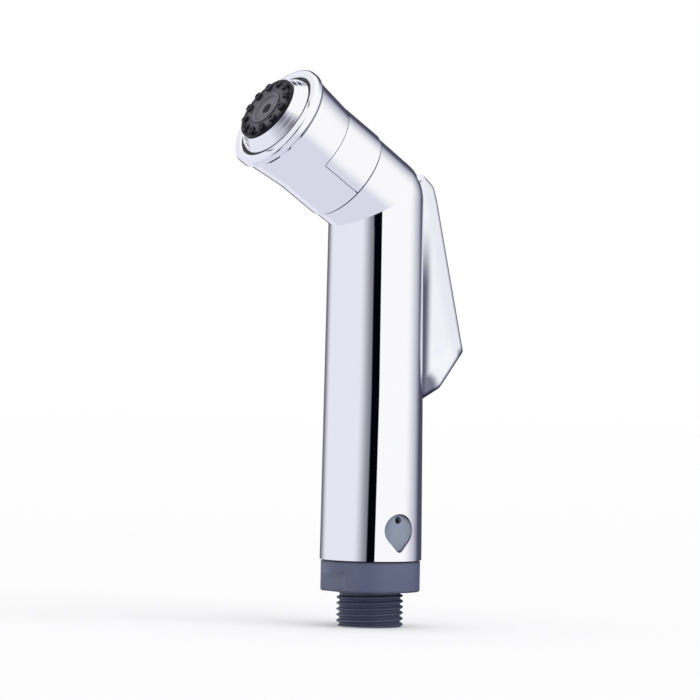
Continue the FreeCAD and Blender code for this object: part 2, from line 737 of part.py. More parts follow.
def outlet_elbow():
    """The rigid elbow from barrel to head: a bent pipe with a grooved plug at each end."""
    body = new_body("outlet_elbow")
    path = new_sketch(body, "path", "XZ_Plane")
    stations = [
        ("0", "elbow_start"),
        ("0", "bend_height - elbow_reach"),
        ("-elbow_reach * sin(head_tilt)", "bend_height + elbow_reach * cos(head_tilt)"),
        ("-elbow_end * sin(head_tilt)", "bend_height + elbow_end * cos(head_tilt)"),
    ]
    points = [FreeCAD.Vector(value(across_text), value(up_text), 0) for across_text, up_text in stations]
    half = "head_tilt / 2"
    middle = FreeCAD.Vector(value("elbow_radius * (cos(%s) - 1)" % half),
                            value("bend_height - elbow_reach + elbow_radius * sin(%s)" % half), 0)
    path.addGeometry(Part.LineSegment(points[0], points[1]))
    path.addGeometry(Part.Arc(points[1], middle, points[2]))
    path.addGeometry(Part.LineSegment(points[2], points[3]))
    path.addConstraint(Sketcher.Constraint("Coincident", 0, 2, 1, 1))
    path.addConstraint(Sketcher.Constraint("Coincident", 1, 2, 2, 1))
    for (index, point), texts in zip(((0, 1), (0, 2), (2, 1), (2, 2)), stations):
        hold(path, index, point, texts)
    hold_radius(path, 1, "elbow_radius")
    pipe = body.newObject("PartDesign::AdditivePipe", "outlet_elbow_pipe")
    pipe.Profile = disc(body, "pipe_section", "XY_Plane", ORIGIN[:2], "elbow_pipe", "elbow_start")
    pipe.Spine = (path, ["Edge1", "Edge2", "Edge3"])
    body.Tip = pipe
    doc.recompute()
    collar = "elbow_plug_length - elbow_lip - 2 * elbow_section - ring_play"
    ends = (
        ("lower", ORIGIN, "up", "elbow_start", "elbow_start + elbow_plug_length - (%s)" % collar),
        ("upper", BEND, "head", "elbow_end - elbow_lip", "elbow_end - elbow_plug_length"),
    )
    for end, base, along, lip_start, collar_start in ends:
        for part_name, start, length in (("lip", lip_start, "elbow_lip"), ("collar", collar_start, collar)):
            cylinder(body, "Additive", end + "_" + part_name, "elbow_plug", length,
                     along_from(base, along, start), along)
    bore = body.newObject("PartDesign::SubtractivePipe", "outlet_elbow_bore")
    bore.Profile = disc(body, "bore_section", "XY_Plane", ORIGIN[:2], "elbow_bore", "elbow_start")
    bore.Spine = (path, ["Edge1", "Edge2", "Edge3"])
    body.Tip = bore
    return body


def packing_rings():
    """The rubber rings of the stand pipe, the two ends of the elbow, the head's land and the insert."""
    groove = "(elbow_lip + elbow_section + ring_play / 2)"
    elbow_centre = "elbow_pipe + elbow_section"
    core = packing_ring("core_oring", "plug_radius + fit / 2 - ring_section", "ring_section",
                        ("0", "0", "plug_bottom + plug_length / 2 + ring_section + ring_play / 2"))
    lower = packing_ring("outlet_oring_lower", elbow_centre, "elbow_section",
                         ("0", "0", "elbow_start + " + groove))
    upper = packing_ring("outlet_oring_upper", elbow_centre, "elbow_section",
                         along_from(BEND, "head", "elbow_end - " + groove), "head")
    land = packing_ring("spigot_oring", "land_radius - ring_section", "ring_section",
                        along_from(BEND, "head", "spigot_groove + ring_section + ring_play / 2"), "head")
    insert = packing_ring("insert_oring", "front_bore - fit - elbow_section", "elbow_section",
                          along_from(BEND, "head", "insert_back + insert_flange / 2"), "head")
    return [core, lower, upper, land, insert]


def head_spigot():
    """The fixed spigot in the neck: socket for the elbow, land for the ring, cam grooves, hexagon."""
    body = new_body("head_spigot", BEND, "head")
    floor = "land_radius - 2 * ring_section"
    groove_front = "spigot_groove + 2 * ring_section + ring_play"
    turned(body, "drum", [
        ("0", "plug_start"),
        ("bore_radius - fit", "plug_start"),
        ("bore_radius - fit", "neck_end"),
        ("land_radius", "neck_end"),
        ("land_radius", "spigot_groove"),
        (floor, "spigot_groove"),
        (floor, groove_front),
        ("land_radius", groove_front),
        ("land_radius", "spigot_front"),
        ("0", "spigot_front"),
    ])
    relief_front = "plug_start + relief_depth"
    turned(body, "relief", [
        ("relief_inner", "plug_start"),
        ("relief_outer", "plug_start"),
        ("relief_outer", relief_front),
        ("relief_inner", relief_front),
    ], "Groove")
    cylinder(body, "Subtractive", "elbow_socket", "elbow_socket", "socket_depth", ("0", "0", "plug_start"))
    cylinder(body, "Subtractive", "bore", "elbow_pipe - running", "spigot_front", ("0", "0", "plug_start"))
    prism = step(body, "SubtractivePrism", "hexagon", Circumradius="hex_radius",
                 Height="spigot_front - hex_start")
    prism.Polygon = 6
    place(prism, ("0", "0", "hex_start"))
    doc.recompute()
    half = "(cam_pin + running)"
    low = "(land_radius - cam_depth)"
    high = "(land_radius + cam_pin)"
    for side, sign, outward in (("left", "", "front"), ("right", "-", "back")):
        groove = step(body, "SubtractiveHelix", "cam_groove_" + side, Height="cam_pitch / 4")
        groove.Turns = 0.25
        groove.Profile = draw(body, "cam_outline_" + side, [
            (sign + low, "cam_place - " + half),
            (sign + high, "cam_place - " + half),
            (sign + high, "cam_place + " + half),
            (sign + low, "cam_place + " + half),
        ], "YZ_Plane")
        groove.ReferenceAxis = (groove.Profile[0], ["V_Axis"])
        groove.Mode = "height-turns-angle"
        body.Tip = groove
        doc.recompute()
        near, far = (low, "-" + low) if sign == "" else ("-" + high, low)
        cylinder(body, "Subtractive", "cam_start_" + side, half, high + " - " + low,
                 ("0", near, "cam_place"), "side")
        cylinder(body, "Subtractive", "cam_end_" + side, half, high + " - " + low,
                 (far, "0", "cam_place + cam_pitch / 4"), outward)
    return body


def pivot_pin():
    """The steel pin that the trigger swings on."""
    body = new_body("pivot_pin")
    across(body, "Additive", "pin", "pin_radius", "(pin_half - face_gap)", "pivot_x", "pivot_height")
    return body


def trigger_lever():
    """The trigger: a deep hollow lever, open towards the handle, with its barrel, web, rib and pad."""
    body = new_body("trigger_lever")
    corners = [
        ("trigger_inner", "heel_height"),
        ("trigger_inner", "crown_height"),
        ("handle_top_radius - crown_inset", "crown_height"),
        ("handle_top_radius + brow_reach", "bend_height + brow_rise"),
        ("shoulder_x", "bend_height"),
        ("tip_x", "tip_height"),
        ("handle_top_radius + belly_reach", "belly_height"),
        ("trigger_inner + heel_trim", "heel_height"),
    ]
    plate(body, "side", corners, "trigger_width")
    bends = (("crown", corners[2], "crown_round"), ("brow", corners[3], "brow_round"),
             ("tip", corners[5], "tip_round"), ("belly", corners[6], "brow_round"))
    for name, corner, radius in bends:
        soften(body, name, radius, upright(corner))
    flank = "(trigger_width / 2 - trigger_wall)"
    opening = [
        ("pivot_x", "heel_height + trigger_wall"),
        ("pivot_x", "crown_height - trigger_wall"),
    ]
    plate(body, "hollow", opening + inset(corners, "trigger_wall")[2:], "2 * " + flank, "Pocket")
    inner = value("trigger_inner")
    side = value("trigger_width / 2")

    def on_side(edge):
        ends = [vertex.Point for vertex in edge.Vertexes]
        flat = all(abs(abs(end.y) - side) < 0.01 for end in ends) and ends[0].y * ends[-1].y > 0
        return flat and not all(abs(end.x - inner) < 0.01 for end in ends)
    soften(body, "edges", "trigger_edge", on_side)
    box(body, "Subtractive", "heel_cut", ("0", "-" + flank, "heel_height - trigger_wall"),
        ("trigger_inner + heel_trim", flank, "belly_height"))
    hood_low = "crown_height - trigger_wall"
    box(body, "Additive", "hood", ("pivot_x + trunnion_gap", "-trigger_width / 2", hood_low),
        ("handle_top_radius - crown_inset - crown_round", "trigger_width / 2", "crown_height"))
    across(body, "Additive", "barrel", "trunnion_radius", "trunnion_half", "pivot_x", "pivot_height")
    web_half = "(%s + fit)" % flank
    box(body, "Additive", "web", ("pivot_x", "-" + web_half, "pivot_height - trigger_wall"),
        ("shoulder_x - trigger_wall", web_half, "pivot_height + trigger_wall / 2"))
    cylinder(body, "Additive", "pad", "pad_radius", "pad_back - pad_face",
             ("pad_face", "0", "valve_height"), "back")
    rib_x = "pad_face + trigger_wall"
    plate(body, "rib", [
        (rib_x, "valve_height"),
        ("pad_back", "valve_height"),
        ("shoulder_x - trigger_wall / 2", "bend_height"),
        ("shoulder_x - trigger_wall", "pivot_height"),
        (rib_x, "pivot_height"),
    ], "rib_width")
    across(body, "Subtractive", "pin_hole", "pin_radius + running", "trunnion_half", "pivot_x",
           "pivot_height")
    return body


def diverter():
    """The plate that shuts the outer nozzles, on a hexagonal shank, and its flat rubber seal."""
    body = new_body("diverter_plate", BEND, "head")
    turned(body, "plate", [
        ("0", "plate_back"),
        ("seal_inner", "plate_back"),
        ("seal_inner", "seal_front"),
        ("seal_outer", "seal_front"),
        ("seal_outer", "plate_back"),
        ("plate_hub", "plate_back"),
        ("plate_hub", "rim_back"),
        ("plate_rim", "rim_back"),
        ("plate_rim", "plate_front"),
        ("0", "plate_front"),
    ])
    shank_start = "hex_start + cam_pin"
    shank = step(body, "AdditivePrism", "shank", Circumradius="hex_radius - hex_gap",
                 Height="plate_back - (%s)" % shank_start)
    shank.Polygon = 6
    place(shank, ("0", "0", shank_start))
    cylinder(body, "Subtractive", "bore", "shank_bore", "plate_front", ORIGIN)
    cylinder(body, "Subtractive", "port", "cross_port", "hex_radius",
             ("0", "0", "spigot_front - cross_port"), "back")
    doc.recompute()
    repeat(body, "ports", [body.Tip], "6")
    seal = new_body("diverter_seal", BEND, "head")
    turned(seal, "seal", [
        ("seal_inner + face_gap", "seal_back"),
        ("seal_outer - face_gap", "seal_back"),
        ("seal_outer - face_gap", "seal_front"),
        ("seal_inner + face_gap", "seal_front"),
    ])
    return [body, seal]


def selector_ring():
    """The turning ring: sleeve with cam pins, flare, rounded lip, inner web and rear tongue."""
    body = new_body("selector_ring", BEND, "head")
    turned(body, "ring", [
        ("sleeve_bore", "band_start"),
        ("band_floor", "band_start"),
        ("band_floor", "band_end"),
        ("band_radius", "band_end"),
        ("ring_front_radius", "ring_flare_end"),
        ("lip_radius", "lip_back"),
        ("lip_radius", "lip_front"),
        ("lip_inner", "lip_front"),
        ("lip_inner", "lip_front - lip_round"),
        ("front_bore", "lip_front - lip_round"),
        ("front_bore", "front_shoulder"),
        ("chamber_bore", "front_shoulder"),
        ("chamber_bore", "web_front"),
        ("web_radius", "web_front"),
        ("web_radius", "web_back"),
        ("sleeve_bore", "web_back"),
    ])
    soften(body, "lip_outer", "lip_round", rims(("lip_radius", "lip_front")))
    soften(body, "lip_rear", "lip_round", rims(("lip_radius", "lip_back")))
    soften(body, "lip_edge", "lip_round / 2", rims(("lip_inner", "lip_front")))
    inner = "-(band_floor - band_thickness / 2)"
    turned(body, "tongue", [
        (inner, "band_start"),
        ("-band_radius", "band_start"),
        ("-band_radius", "band_end + fit"),
        (inner, "band_end + fit"),
    ], sweep="360 - band_sweep - seam_sweep")
    pin_inner = "(land_radius - cam_depth + fit)"
    pin_length = "band_floor - %s - fit" % pin_inner
    cylinder(body, "Additive", "cam_left", "cam_pin", pin_length, ("0", pin_inner, "cam_place"), "side")
    cylinder(body, "Additive", "cam_right", "cam_pin", pin_length,
             ("0", "-(band_floor - fit)", "cam_place"), "side")
    return body


def selector_band():
    """The C-shaped cover round the back of the ring, between the two sides of its tongue."""
    body = new_body("selector_band", BEND, "head")
    turned(body, "cover", [
        ("band_floor + face_gap", "band_start"),
        ("band_radius", "band_start"),
        ("band_radius", "band_end - band_gap"),
        ("band_floor + face_gap", "band_end - band_gap"),
    ], sweep="band_sweep - seam_sweep")
    return body


def nozzle():
    """The dark insert with its nubs, the jet core in it, the stepped bezel and the bezel's seal."""
    insert = new_body("nozzle_insert", BEND, "head")
    middle = "insert_back + insert_flange / 2"
    half = "(elbow_section + ring_play / 4)"
    floor = "front_bore - fit - 2 * elbow_section"
    turned(insert, "body", [
        ("core_radius + fit", "insert_back"),
        ("front_bore - fit", "insert_back"),
        ("front_bore - fit", middle + " - " + half),
        (floor, middle + " - " + half),
        (floor, middle + " + " + half),
        ("front_bore - fit", middle + " + " + half),
        ("front_bore - fit", "insert_back + insert_flange"),
        ("insert_radius", "insert_back + insert_flange"),
        ("insert_radius", "insert_face"),
        ("core_radius + fit", "insert_face"),
    ])
    nub = step(insert, "AdditiveCone", "nub", Radius1="nub_radius", Radius2="nub_radius * 0.8",
               Height="2 * nub_height")
    place(nub, ("nub_circle", "0", "insert_face - nub_height"))
    doc.recompute()
    repeat(insert, "nubs", [nub], "nub_count")
    cylinder(insert, "Subtractive", "hole", "nub_hole", "nub_top", ("nub_circle", "0", "0"))
    doc.recompute()
    repeat(insert, "holes", [insert.Tip], "nub_count")
    core = new_body("jet_core", BEND, "head")
    turned(core, "core", [
        ("jet_radius", "core_back"),
        ("core_radius + core_flange", "core_back"),
        ("core_radius + core_flange", "insert_back"),
        ("core_radius", "insert_back"),
        ("core_radius", "core_face"),
        ("core_radius - core_rim", "core_face"),
        ("core_radius - 2 * core_rim", "core_face - core_rim"),
        ("jet_radius", "core_face - core_rim"),
    ])
    bezel = new_body("nozzle_bezel", BEND, "head")
    outer = "front_bore - running"
    profile = [("insert_radius + fit", "bezel_back"), (outer, "bezel_back")]
    radius, height = outer, "lip_front - bezel_sink"
    for _ in range(3):
        profile.append((radius, height))
        radius, height = radius + " - bezel_step", height + " + bezel_rise"
        profile.append((radius, height))
        radius = radius + " - bezel_ledge"
    profile.append(("insert_radius + fit", height))
    turned(bezel, "steps", profile)
    seal = new_body("bezel_seal", BEND, "head")
    turned(seal, "seal", [
        ("front_bore", "lip_front - lip_round + face_gap"),
        ("lip_inner - face_gap", "lip_front - lip_round + face_gap"),
        ("lip_inner - face_gap", "lip_front - bezel_ledge"),
        ("front_bore", "lip_front - bezel_ledge"),
    ])
    return [insert, core, bezel, seal]


BUILDERS = [body_shell, inlet_core, valve_body, valve_trim, valve_stem, valve_spring, outlet_elbow,
            packing_rings, head_spigot, pivot_pin, trigger_lever, diverter, selector_ring,
            selector_band, nozzle]


def main():
    fill_sheet()
    bodies = []
    for builder in BUILDERS:
        made = builder()
        bodies.extend(made if isinstance(made, list) else [made])
    doc.recompute()
    for item in doc.Objects:
        if "Invalid" in item.State or "Error" in item.State:
            raise RuntimeError("failed: " + item.Name)
    for body in bodies:
        shape = body.Shape
        if shape.isNull() or not shape.isValid() or not shape.Solids:
            raise RuntimeError("bad shape: " + body.Label)
        print(body.Label, len(shape.Solids), round(shape.Volume, 1), shape.BoundBox)
        shape.exportStep("parts/%s.step" % body.Label)


main()
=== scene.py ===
"""Dresses the packed spray handset: chrome handle and turning head, threaded inlet, dark nozzle."""
import json
import math

import bmesh
import bpy
from bpy.props import FloatProperty, FloatVectorProperty, IntProperty, PointerProperty
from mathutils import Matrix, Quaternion, Vector


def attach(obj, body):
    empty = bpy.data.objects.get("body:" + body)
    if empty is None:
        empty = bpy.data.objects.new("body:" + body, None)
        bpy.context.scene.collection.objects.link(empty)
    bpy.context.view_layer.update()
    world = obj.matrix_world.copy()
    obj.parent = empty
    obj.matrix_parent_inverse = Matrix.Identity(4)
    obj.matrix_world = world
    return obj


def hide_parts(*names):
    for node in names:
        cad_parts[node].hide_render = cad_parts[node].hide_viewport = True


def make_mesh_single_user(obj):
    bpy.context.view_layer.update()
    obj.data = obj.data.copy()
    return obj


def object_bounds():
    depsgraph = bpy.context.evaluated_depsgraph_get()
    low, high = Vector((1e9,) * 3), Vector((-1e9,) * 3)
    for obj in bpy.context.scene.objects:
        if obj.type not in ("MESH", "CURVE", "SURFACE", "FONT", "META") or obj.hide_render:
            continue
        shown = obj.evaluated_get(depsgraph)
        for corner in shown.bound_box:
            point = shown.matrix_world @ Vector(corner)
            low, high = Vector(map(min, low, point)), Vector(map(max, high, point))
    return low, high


bl_info = {
    "name": "Spray handset dressing",
    "version": (1, 0, 0),
    "blender": (4, 5, 0),
    "location": "3D View > Sidebar > Handset",
    "description": "Finishes, hose thread and studio for a chrome bidet spray handset",
    "category": "Object",
}

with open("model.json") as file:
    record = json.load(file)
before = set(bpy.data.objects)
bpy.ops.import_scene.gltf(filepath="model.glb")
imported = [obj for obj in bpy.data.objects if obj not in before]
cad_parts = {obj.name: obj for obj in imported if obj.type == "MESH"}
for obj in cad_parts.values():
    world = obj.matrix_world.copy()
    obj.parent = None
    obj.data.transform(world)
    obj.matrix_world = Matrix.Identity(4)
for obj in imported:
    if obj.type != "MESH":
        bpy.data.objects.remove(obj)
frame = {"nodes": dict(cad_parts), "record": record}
CAD_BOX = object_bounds()
THREAD = frame["record"]["mounts"][0]["dims"]
MM = 0.001

CHROME_NODES = ("selector_ring", "selector_band", "nozzle_bezel")
WHITE_NODES = ("valve_body", "spring_cap", "stem_bonnet", "outlet_elbow", "head_spigot",
               "diverter_plate")
RUBBER_NODES = ("core_oring", "stem_oring", "outlet_oring_lower", "outlet_oring_upper",
                "spigot_oring", "insert_oring", "seat_washer", "diverter_seal", "bezel_seal")
STEEL_NODES = ("pivot_pin", "valve_spring", "washer_retainer")

UP = Vector((0.0, 0.0, 1.0))
WHITE = (1.0, 1.0, 1.0)
SAME_PLACE = 1e-6  # metres between two corners that count as one

# On the trigger's side: a point of its back edge with the direction out of it, and its lower
# corner and tip, each with the share of them that the painted shade covers.
BACK_EDGE = (Vector((27.3 * MM, 0.0, 87.1 * MM)), Vector((0.9728, 0.0, 0.2318)))
HEEL = ((14.6 * MM, -8.0 * MM, 75.4 * MM), 0.9)
TIP = ((28.0 * MM, -7.0 * MM, 86.2 * MM), 0.7)
ROOT_CORE, PATCH_CORE = 0.1, 0.4  # how far the painted shade is at its fullest, as shares of its width
ROOT_FADE = (28.0 * MM, 4.0 * MM)  # below the bend's centre, where the painted shade at the root fades out
EDGE_BAND_FADE = (5.5 * MM, 1.0 * MM)  # under the back edge, where its painted band of darker reflection begins and is full
EDGE_BAND_SHARE = 0.75
EDGE_FADE = 0.3  # as a share of the dark edge's width

ZONE_FADE = 0.3 * MM  # upwards, over which one colour turns into another
DISC_FADE = (0.92, 0.2 * MM)  # inwards as a share of the disc's radius, and upwards
# How far the roughness moves where each pattern is full.
ROUGH_STEPS = {"wear_and_edge_shade": 0.1, "lines": 0.1, "marks": 0.15, "rubber": 0.16}
METAL_MARKS = {"scale": 160.0, "cover": 0.6}
METAL_RELIEF = 0.004 * MM
RUBBER_MARKS = {"scale": 240.0, "cover": 0.5}
RUBBER_GRAIN = 3800.0
RUBBER_SATIN = 0.5
RUBBER_RELIEF = 0.008 * MM


def tint(name, what, default):
    """A colour property."""
    return FloatVectorProperty(name=name, description=what, default=default, subtype="COLOR",
                               min=0.0, max=1.0)


def share(name, what, default):
    """A property that runs from nothing to all."""
    return FloatProperty(name=name, description=what, default=default, min=0.0, max=1.0,
                         subtype="FACTOR")


def length(name, what, default):
    """A length in metres."""
    return FloatProperty(name=name, description=what, default=default, min=0.0,
                         subtype="DISTANCE", unit="LENGTH", precision=5)


def amount(name, what, default):
    """A number from nothing upwards, such as how many grains lie in a metre."""
    return FloatProperty(name=name, description=what, default=default, min=0.0)


def turn(name, what, default):
    """An angle, given in degrees."""
    return FloatProperty(name=name, description=what, default=math.radians(default),
                         subtype="ANGLE", unit="ROTATION")


class ChromeFinish(bpy.types.PropertyGroup):
    """Bright chrome plate over moulded plastic."""
    plate: tint("Plate", "Colour of clean plate", (0.94, 0.94, 0.965))
    film: tint("Film", "Colour of plate under a film from hands and water", (0.865, 0.875, 0.95))
    polish: share("Polish", "Roughness of clean plate", 0.03)
    dulled: share("Dulled", "Roughness where hands and water have dulled it", 0.06)
    marks: amount("Marks", "Handling marks in a metre", 55.0)
    cover: share("Cover", "How much of the handle's plate the marks cover", 0.25)
    thumbed: share("Thumbed", "How much of the trigger's plate the marks cover", 0.8)
    # Painted shade: a dark line at the neck's end, along its seam.
    neck_edge_shade: tint("Neck edge shade", "Colour of the grime on the neck's edge", (0.09, 0.09, 0.12))
    # Painted shade in seams and corners: its colour, the seams' width, and how open a seam is where
    # it ends.
    seam_shade: tint("Seam shade", "Colour of the dust in seams and corners", (0.3, 0.3, 0.35))
    seam: length("Seam", "Width of the seams that hold dust", 0.7 * MM)
    seam_open: share("Seam open", "How open to the light a seam is where its dust ends", 0.6)
    edge: length("Edge", "Width of the dark edge where the neck ends", 0.32 * MM)
    # The trigger's painted shade at its root, painted shadow at its heel, painted dark reflection
    # at its tip and painted darker band of reflection along its back edge.
    root: length("Root", "How far the trigger's dull film reaches out of its slot", 3.0 * MM)
    root_shade: tint("Root shade", "Colour of the trigger's dull film", (0.11, 0.11, 0.17))
    heel: length("Heel", "Width of the dull patch at the trigger's lower end", 6.0 * MM)
    tip: length("Tip", "Width of the dull patch at the trigger's tip", 2.6 * MM)
    wear_and_edge_shade: tint("Rubbed", "Colour of the trigger's back edge where fingers rub it",
                 (0.78, 0.775, 0.86))
    ripple: length("Ripple", "Height of the moulding's faint waves", 0.0018 * MM)
    waves: amount("Waves", "Waves of the moulding in a metre", 38.0)


class HandleShape(bpy.types.PropertyGroup):
    """The true surfaces of the handle, bend and neck, for their exact shading."""
    foot: length("Foot", "Height of the handle's lower end", 21.0 * MM)
    foot_radius: length("Foot radius", "Radius of the handle at its foot", 16.0 * MM)
    bend: length("Bend", "Height of the bend's centre", 133.6 * MM)
    bend_radius: length("Bend radius", "Radius of the handle at the bend", 15.0 * MM)
    neck: length("Neck", "Length of the neck from the bend's centre", 14.5 * MM)
    neck_radius: length("Neck radius", "Radius of the neck at its end", 15.25 * MM)
    tilt: turn("Tilt", "Angle between the handle and the neck", 57.0)
    near: length("Near", "How near to a true surface a corner lies", 0.02 * MM)


class InletFinish(bpy.types.PropertyGroup):
    """Satin blue-grey moulded plastic."""
    body: tint("Body", "Colour of the moulded plastic", (0.098, 0.117, 0.198))
    deep: tint("Deep", "Colour in the moulding's darker clouds", (0.092, 0.11, 0.188))
    tongue: tint("Tongue", "Colour of the polished snap tongues", (0.255, 0.297, 0.38))
    tongue_foot: length("Tongue foot", "Height where the polished tongues begin", 21.2 * MM)
    # The collar's upper edge takes this colour as a painted shadow under the handle's foot; below
    # the collar the thread is coloured darker.
    thread: tint("Thread", "Colour of the wetted thread and the collar's upper edge",
                 (0.05, 0.058, 0.1))
    darkened: share("Darkened", "How much of that colour the thread has", 0.85)
    thread_end: length("Thread end", "Height where the collar begins", 11.5 * MM)
    shade: share("Shade", "How much of that colour the collar's upper edge has", 0.7)
    shade_foot: length("Shade foot", "Height where the collar's upper edge begins", 20.0 * MM)
    satin: share("Satin", "Roughness of the plastic", 0.4)
    spread: share("Spread", "How much the roughness varies", 0.14)
    grain: amount("Grain", "Grains in a metre", 2600.0)
    depth: length("Depth", "Height of the grain", 0.012 * MM)


class NozzleFinish(bpy.types.PropertyGroup):
    """Dark nubbed insert and grey jet core."""
    insert: tint("Insert", "Colour of the nubbed insert", (0.008, 0.008, 0.013))
    insert_high: tint("Insert high", "Colour of the insert where it is rubbed",
                      (0.07, 0.07, 0.09))
    wear: share("Wear", "How much the insert's corners are rubbed", 0.7)
    core: tint("Core", "Colour of the jet core", (0.125, 0.12, 0.145))
    core_deep: tint("Core deep", "Colour of the jet core's darker clouds", (0.095, 0.09, 0.112))
    satin: share("Satin", "Roughness of both", 0.36)
    spread: share("Spread", "How much the insert's roughness varies", 0.12)
    core_spread: share("Core spread", "How much the jet core's roughness varies", 0.1)
    sheen: share("Sheen", "Strength of the insert's gloss", 0.12)
    face: tint("Face", "Colour of the insert's face between its nubs", (0.11, 0.106, 0.128))
    face_radius: length("Face radius", "Radius of the face's grey part", 9.6 * MM)
    face_level: length("Face level", "From the bend's centre to the insert's face", 49.95 * MM)
    grain: amount("Grain", "Grains in a metre", 3200.0)
    depth: length("Depth", "Height of the grain", 0.01 * MM)


class InsideFinish(bpy.types.PropertyGroup):
    """Acetal mouldings, rubber rings and metal small parts."""
    acetal: tint("Acetal", "Colour of the white mouldings", (0.76, 0.76, 0.725))
    acetal_deep: tint("Acetal deep", "Colour of their clouds", (0.68, 0.675, 0.63))
    satin: share("Satin", "Roughness of the white mouldings", 0.45)
    spread: share("Spread", "How much their roughness varies", 0.12)
    grain: amount("Grain", "Grains in a metre", 2200.0)
    depth: length("Depth", "Height of the grain", 0.01 * MM)
    rubber: tint("Rubber", "Colour of the rings", (0.022, 0.022, 0.024))
    bloom: tint("Bloom", "Colour of the pale bloom on rubber", (0.06, 0.06, 0.062))
    brass: tint("Brass", "Colour of the stem", (0.72, 0.53, 0.25))
    brass_dull: tint("Brass dull", "Colour of tarnish on the stem", (0.45, 0.3, 0.13))
    brass_polish: share("Brass polish", "Roughness of the stem", 0.2)
    steel: tint("Steel", "Colour of the pin and spring", (0.62, 0.62, 0.64))
    steel_dull: tint("Steel dull", "Colour of oil film on steel", (0.42, 0.41, 0.4))
    steel_polish: share("Steel polish", "Roughness of the pin and spring", 0.18)
    lines: amount("Lines", "Turning lines in a metre", 5200.0)


class ThreadShape(bpy.types.PropertyGroup):
    """The hose thread, wound on the inlet's plain cylinder."""
    crest: length("Crest", "Radius over the ridges", THREAD["r_mm"] * MM)
    lead: length("Lead", "Width of the chamfer at the end", 0.5 * MM)
    wall: length("Wall", "Length of the cylinder above the chamfer", THREAD["length_mm"] * MM)
    pitch: length("Pitch", "Height of one turn", 1.814 * MM)
    depth: length("Depth", "Depth of the thread", 0.98 * MM)
    relief: length("Relief", "Width of the undercut below the collar", 1.15 * MM)
    columns: IntProperty(name="Columns", description="Faces round the thread", default=144,
                         min=24, max=360)
    rows: IntProperty(name="Rows", description="Faces over one turn's height", default=14,
                      min=6, max=40)


class StudioSetting(bpy.types.PropertyGroup):
    """Camera, floor, soft light and the painted wall that chrome mirrors."""
    azimuth: turn("Azimuth", "Where the camera stands round the handset", -34.0)
    roll: turn("Roll", "How far the camera leans to the left", 1.0)
    distance: length("Distance", "From the camera to the handset", 1.3)
    picture: length("Picture", "Height of the picture at the handset", 0.219)
    floor: tint("Floor", "Colour of the floor", (0.93, 0.93, 0.94))
    floor_lift: share("Floor lift", "Brightness the camera sees added to the floor", 0.1)
    floor_radius: length("Floor radius", "Radius of the round floor", 4.0)
    wall_radius: length("Wall radius", "From the handset's axis to the painted wall", 0.6)
    wall_foot: length("Wall foot", "How far the painted wall goes below the floor", 0.3)
    wall_top: length("Wall top", "Height of the painted wall", 1.3)
    pale_foot: length("Pale foot", "Height at which the painted wall has turned white", 0.02)
    wall_paint: tint("Wall paint", "Colour of the wall between its patches", (1.0, 1.0, 1.0))
    under_paint: tint("Under paint", "Colour of the ground that the wall stands on",
                      (0.72, 0.715, 0.83))
    sky: amount("Sky", "Strength of the even light", 0.82)
    key: amount("Key", "Strength of the soft key light", 0.62)
    key_spread: turn("Key spread", "Width of the soft key light", 50.0)


SETTINGS = {
    "handle_shape": HandleShape,
    "chrome_finish": ChromeFinish,
    "inlet_finish": InletFinish,
    "nozzle_finish": NozzleFinish,
    "inside_finish": InsideFinish,
    "thread_shape": ThreadShape,
    "studio_setting": StudioSetting,
}


class NodeDesk:
    """Places and joins the nodes of one material or group."""

    def __init__(self, tree):
        self.nodes = tree.nodes
        self.links = tree.links

    def add(self, kind, **values):
        """A node whose inputs are set to numbers or joined to other nodes' outputs."""
        node = self.nodes.new(kind)
        for name, item in values.pop("settings", {}).items():
            setattr(node, name, item)
        for name, item in values.pop("inputs", {}).items():
            self.feed(node.inputs[name], item)
        return node

    def feed(self, socket, item):
        """Sets a socket, or joins it to an output."""
        if isinstance(item, bpy.types.NodeSocket):
            self.links.new(item, socket)
        elif hasattr(item, "__len__") and len(item) == 3 and socket.type == "RGBA":
            socket.default_value = (*item, 1.0)
        else:
            socket.default_value = item

    def mix(self, factor, first, second):
        """A colour between two colours."""
        node = self.nodes.new("ShaderNodeMix")
        node.data_type = "RGBA"
        self.feed(node.inputs["Factor"], factor)
        self.feed(node.inputs["A"], first)
        self.feed(node.inputs["B"], second)
        return node.outputs["Result"]

    def measure(self, operation, place, fixed):
        """A number made from a place and a fixed vector."""
        node = self.nodes.new("ShaderNodeVectorMath")
        node.operation = operation
        self.feed(node.inputs[0], place)
        self.feed(node.inputs[1], fixed)
        return node.outputs["Value"]

    def math(self, operation, *items, clamp=False):
        """The result of a sum, product, root or angle."""
        node = self.nodes.new("ShaderNodeMath")
        node.operation = operation
        node.use_clamp = clamp
        for socket, item in zip(node.inputs, items):
            self.feed(socket, item)
        return node.outputs["Value"]

    def spread(self, value, low, high, to_low=0.0, to_high=1.0):
        """Maps a range of values smoothly to another."""
        node = self.nodes.new("ShaderNodeMapRange")
        node.interpolation_type = "SMOOTHSTEP"
        for name, item in (("Value", value), ("From Min", low), ("From Max", high),
                           ("To Min", to_low), ("To Max", to_high)):
            self.feed(node.inputs[name], item)
        return node.outputs["Result"]


def new_group(name, inputs, outputs):
    """An empty node group with named sockets: (desk, its inputs, its output node)."""
    tree = bpy.data.node_groups.new(name, "ShaderNodeTree")
    for direction, sockets in (("INPUT", inputs), ("OUTPUT", outputs)):
        for socket_name, kind in sockets.items():
            tree.interface.new_socket(socket_name, in_out=direction,
                                      socket_type="NodeSocket" + kind)
    desk = NodeDesk(tree)
    return desk, desk.add("NodeGroupInput").outputs, desk.add("NodeGroupOutput").inputs


CLOUDS_PER_GRAIN = 0.045
DROPS_PER_SMUDGE = 3.4
SEAM_FADE = 0.34  # how much more open to the light a seam is where its painted shade ends
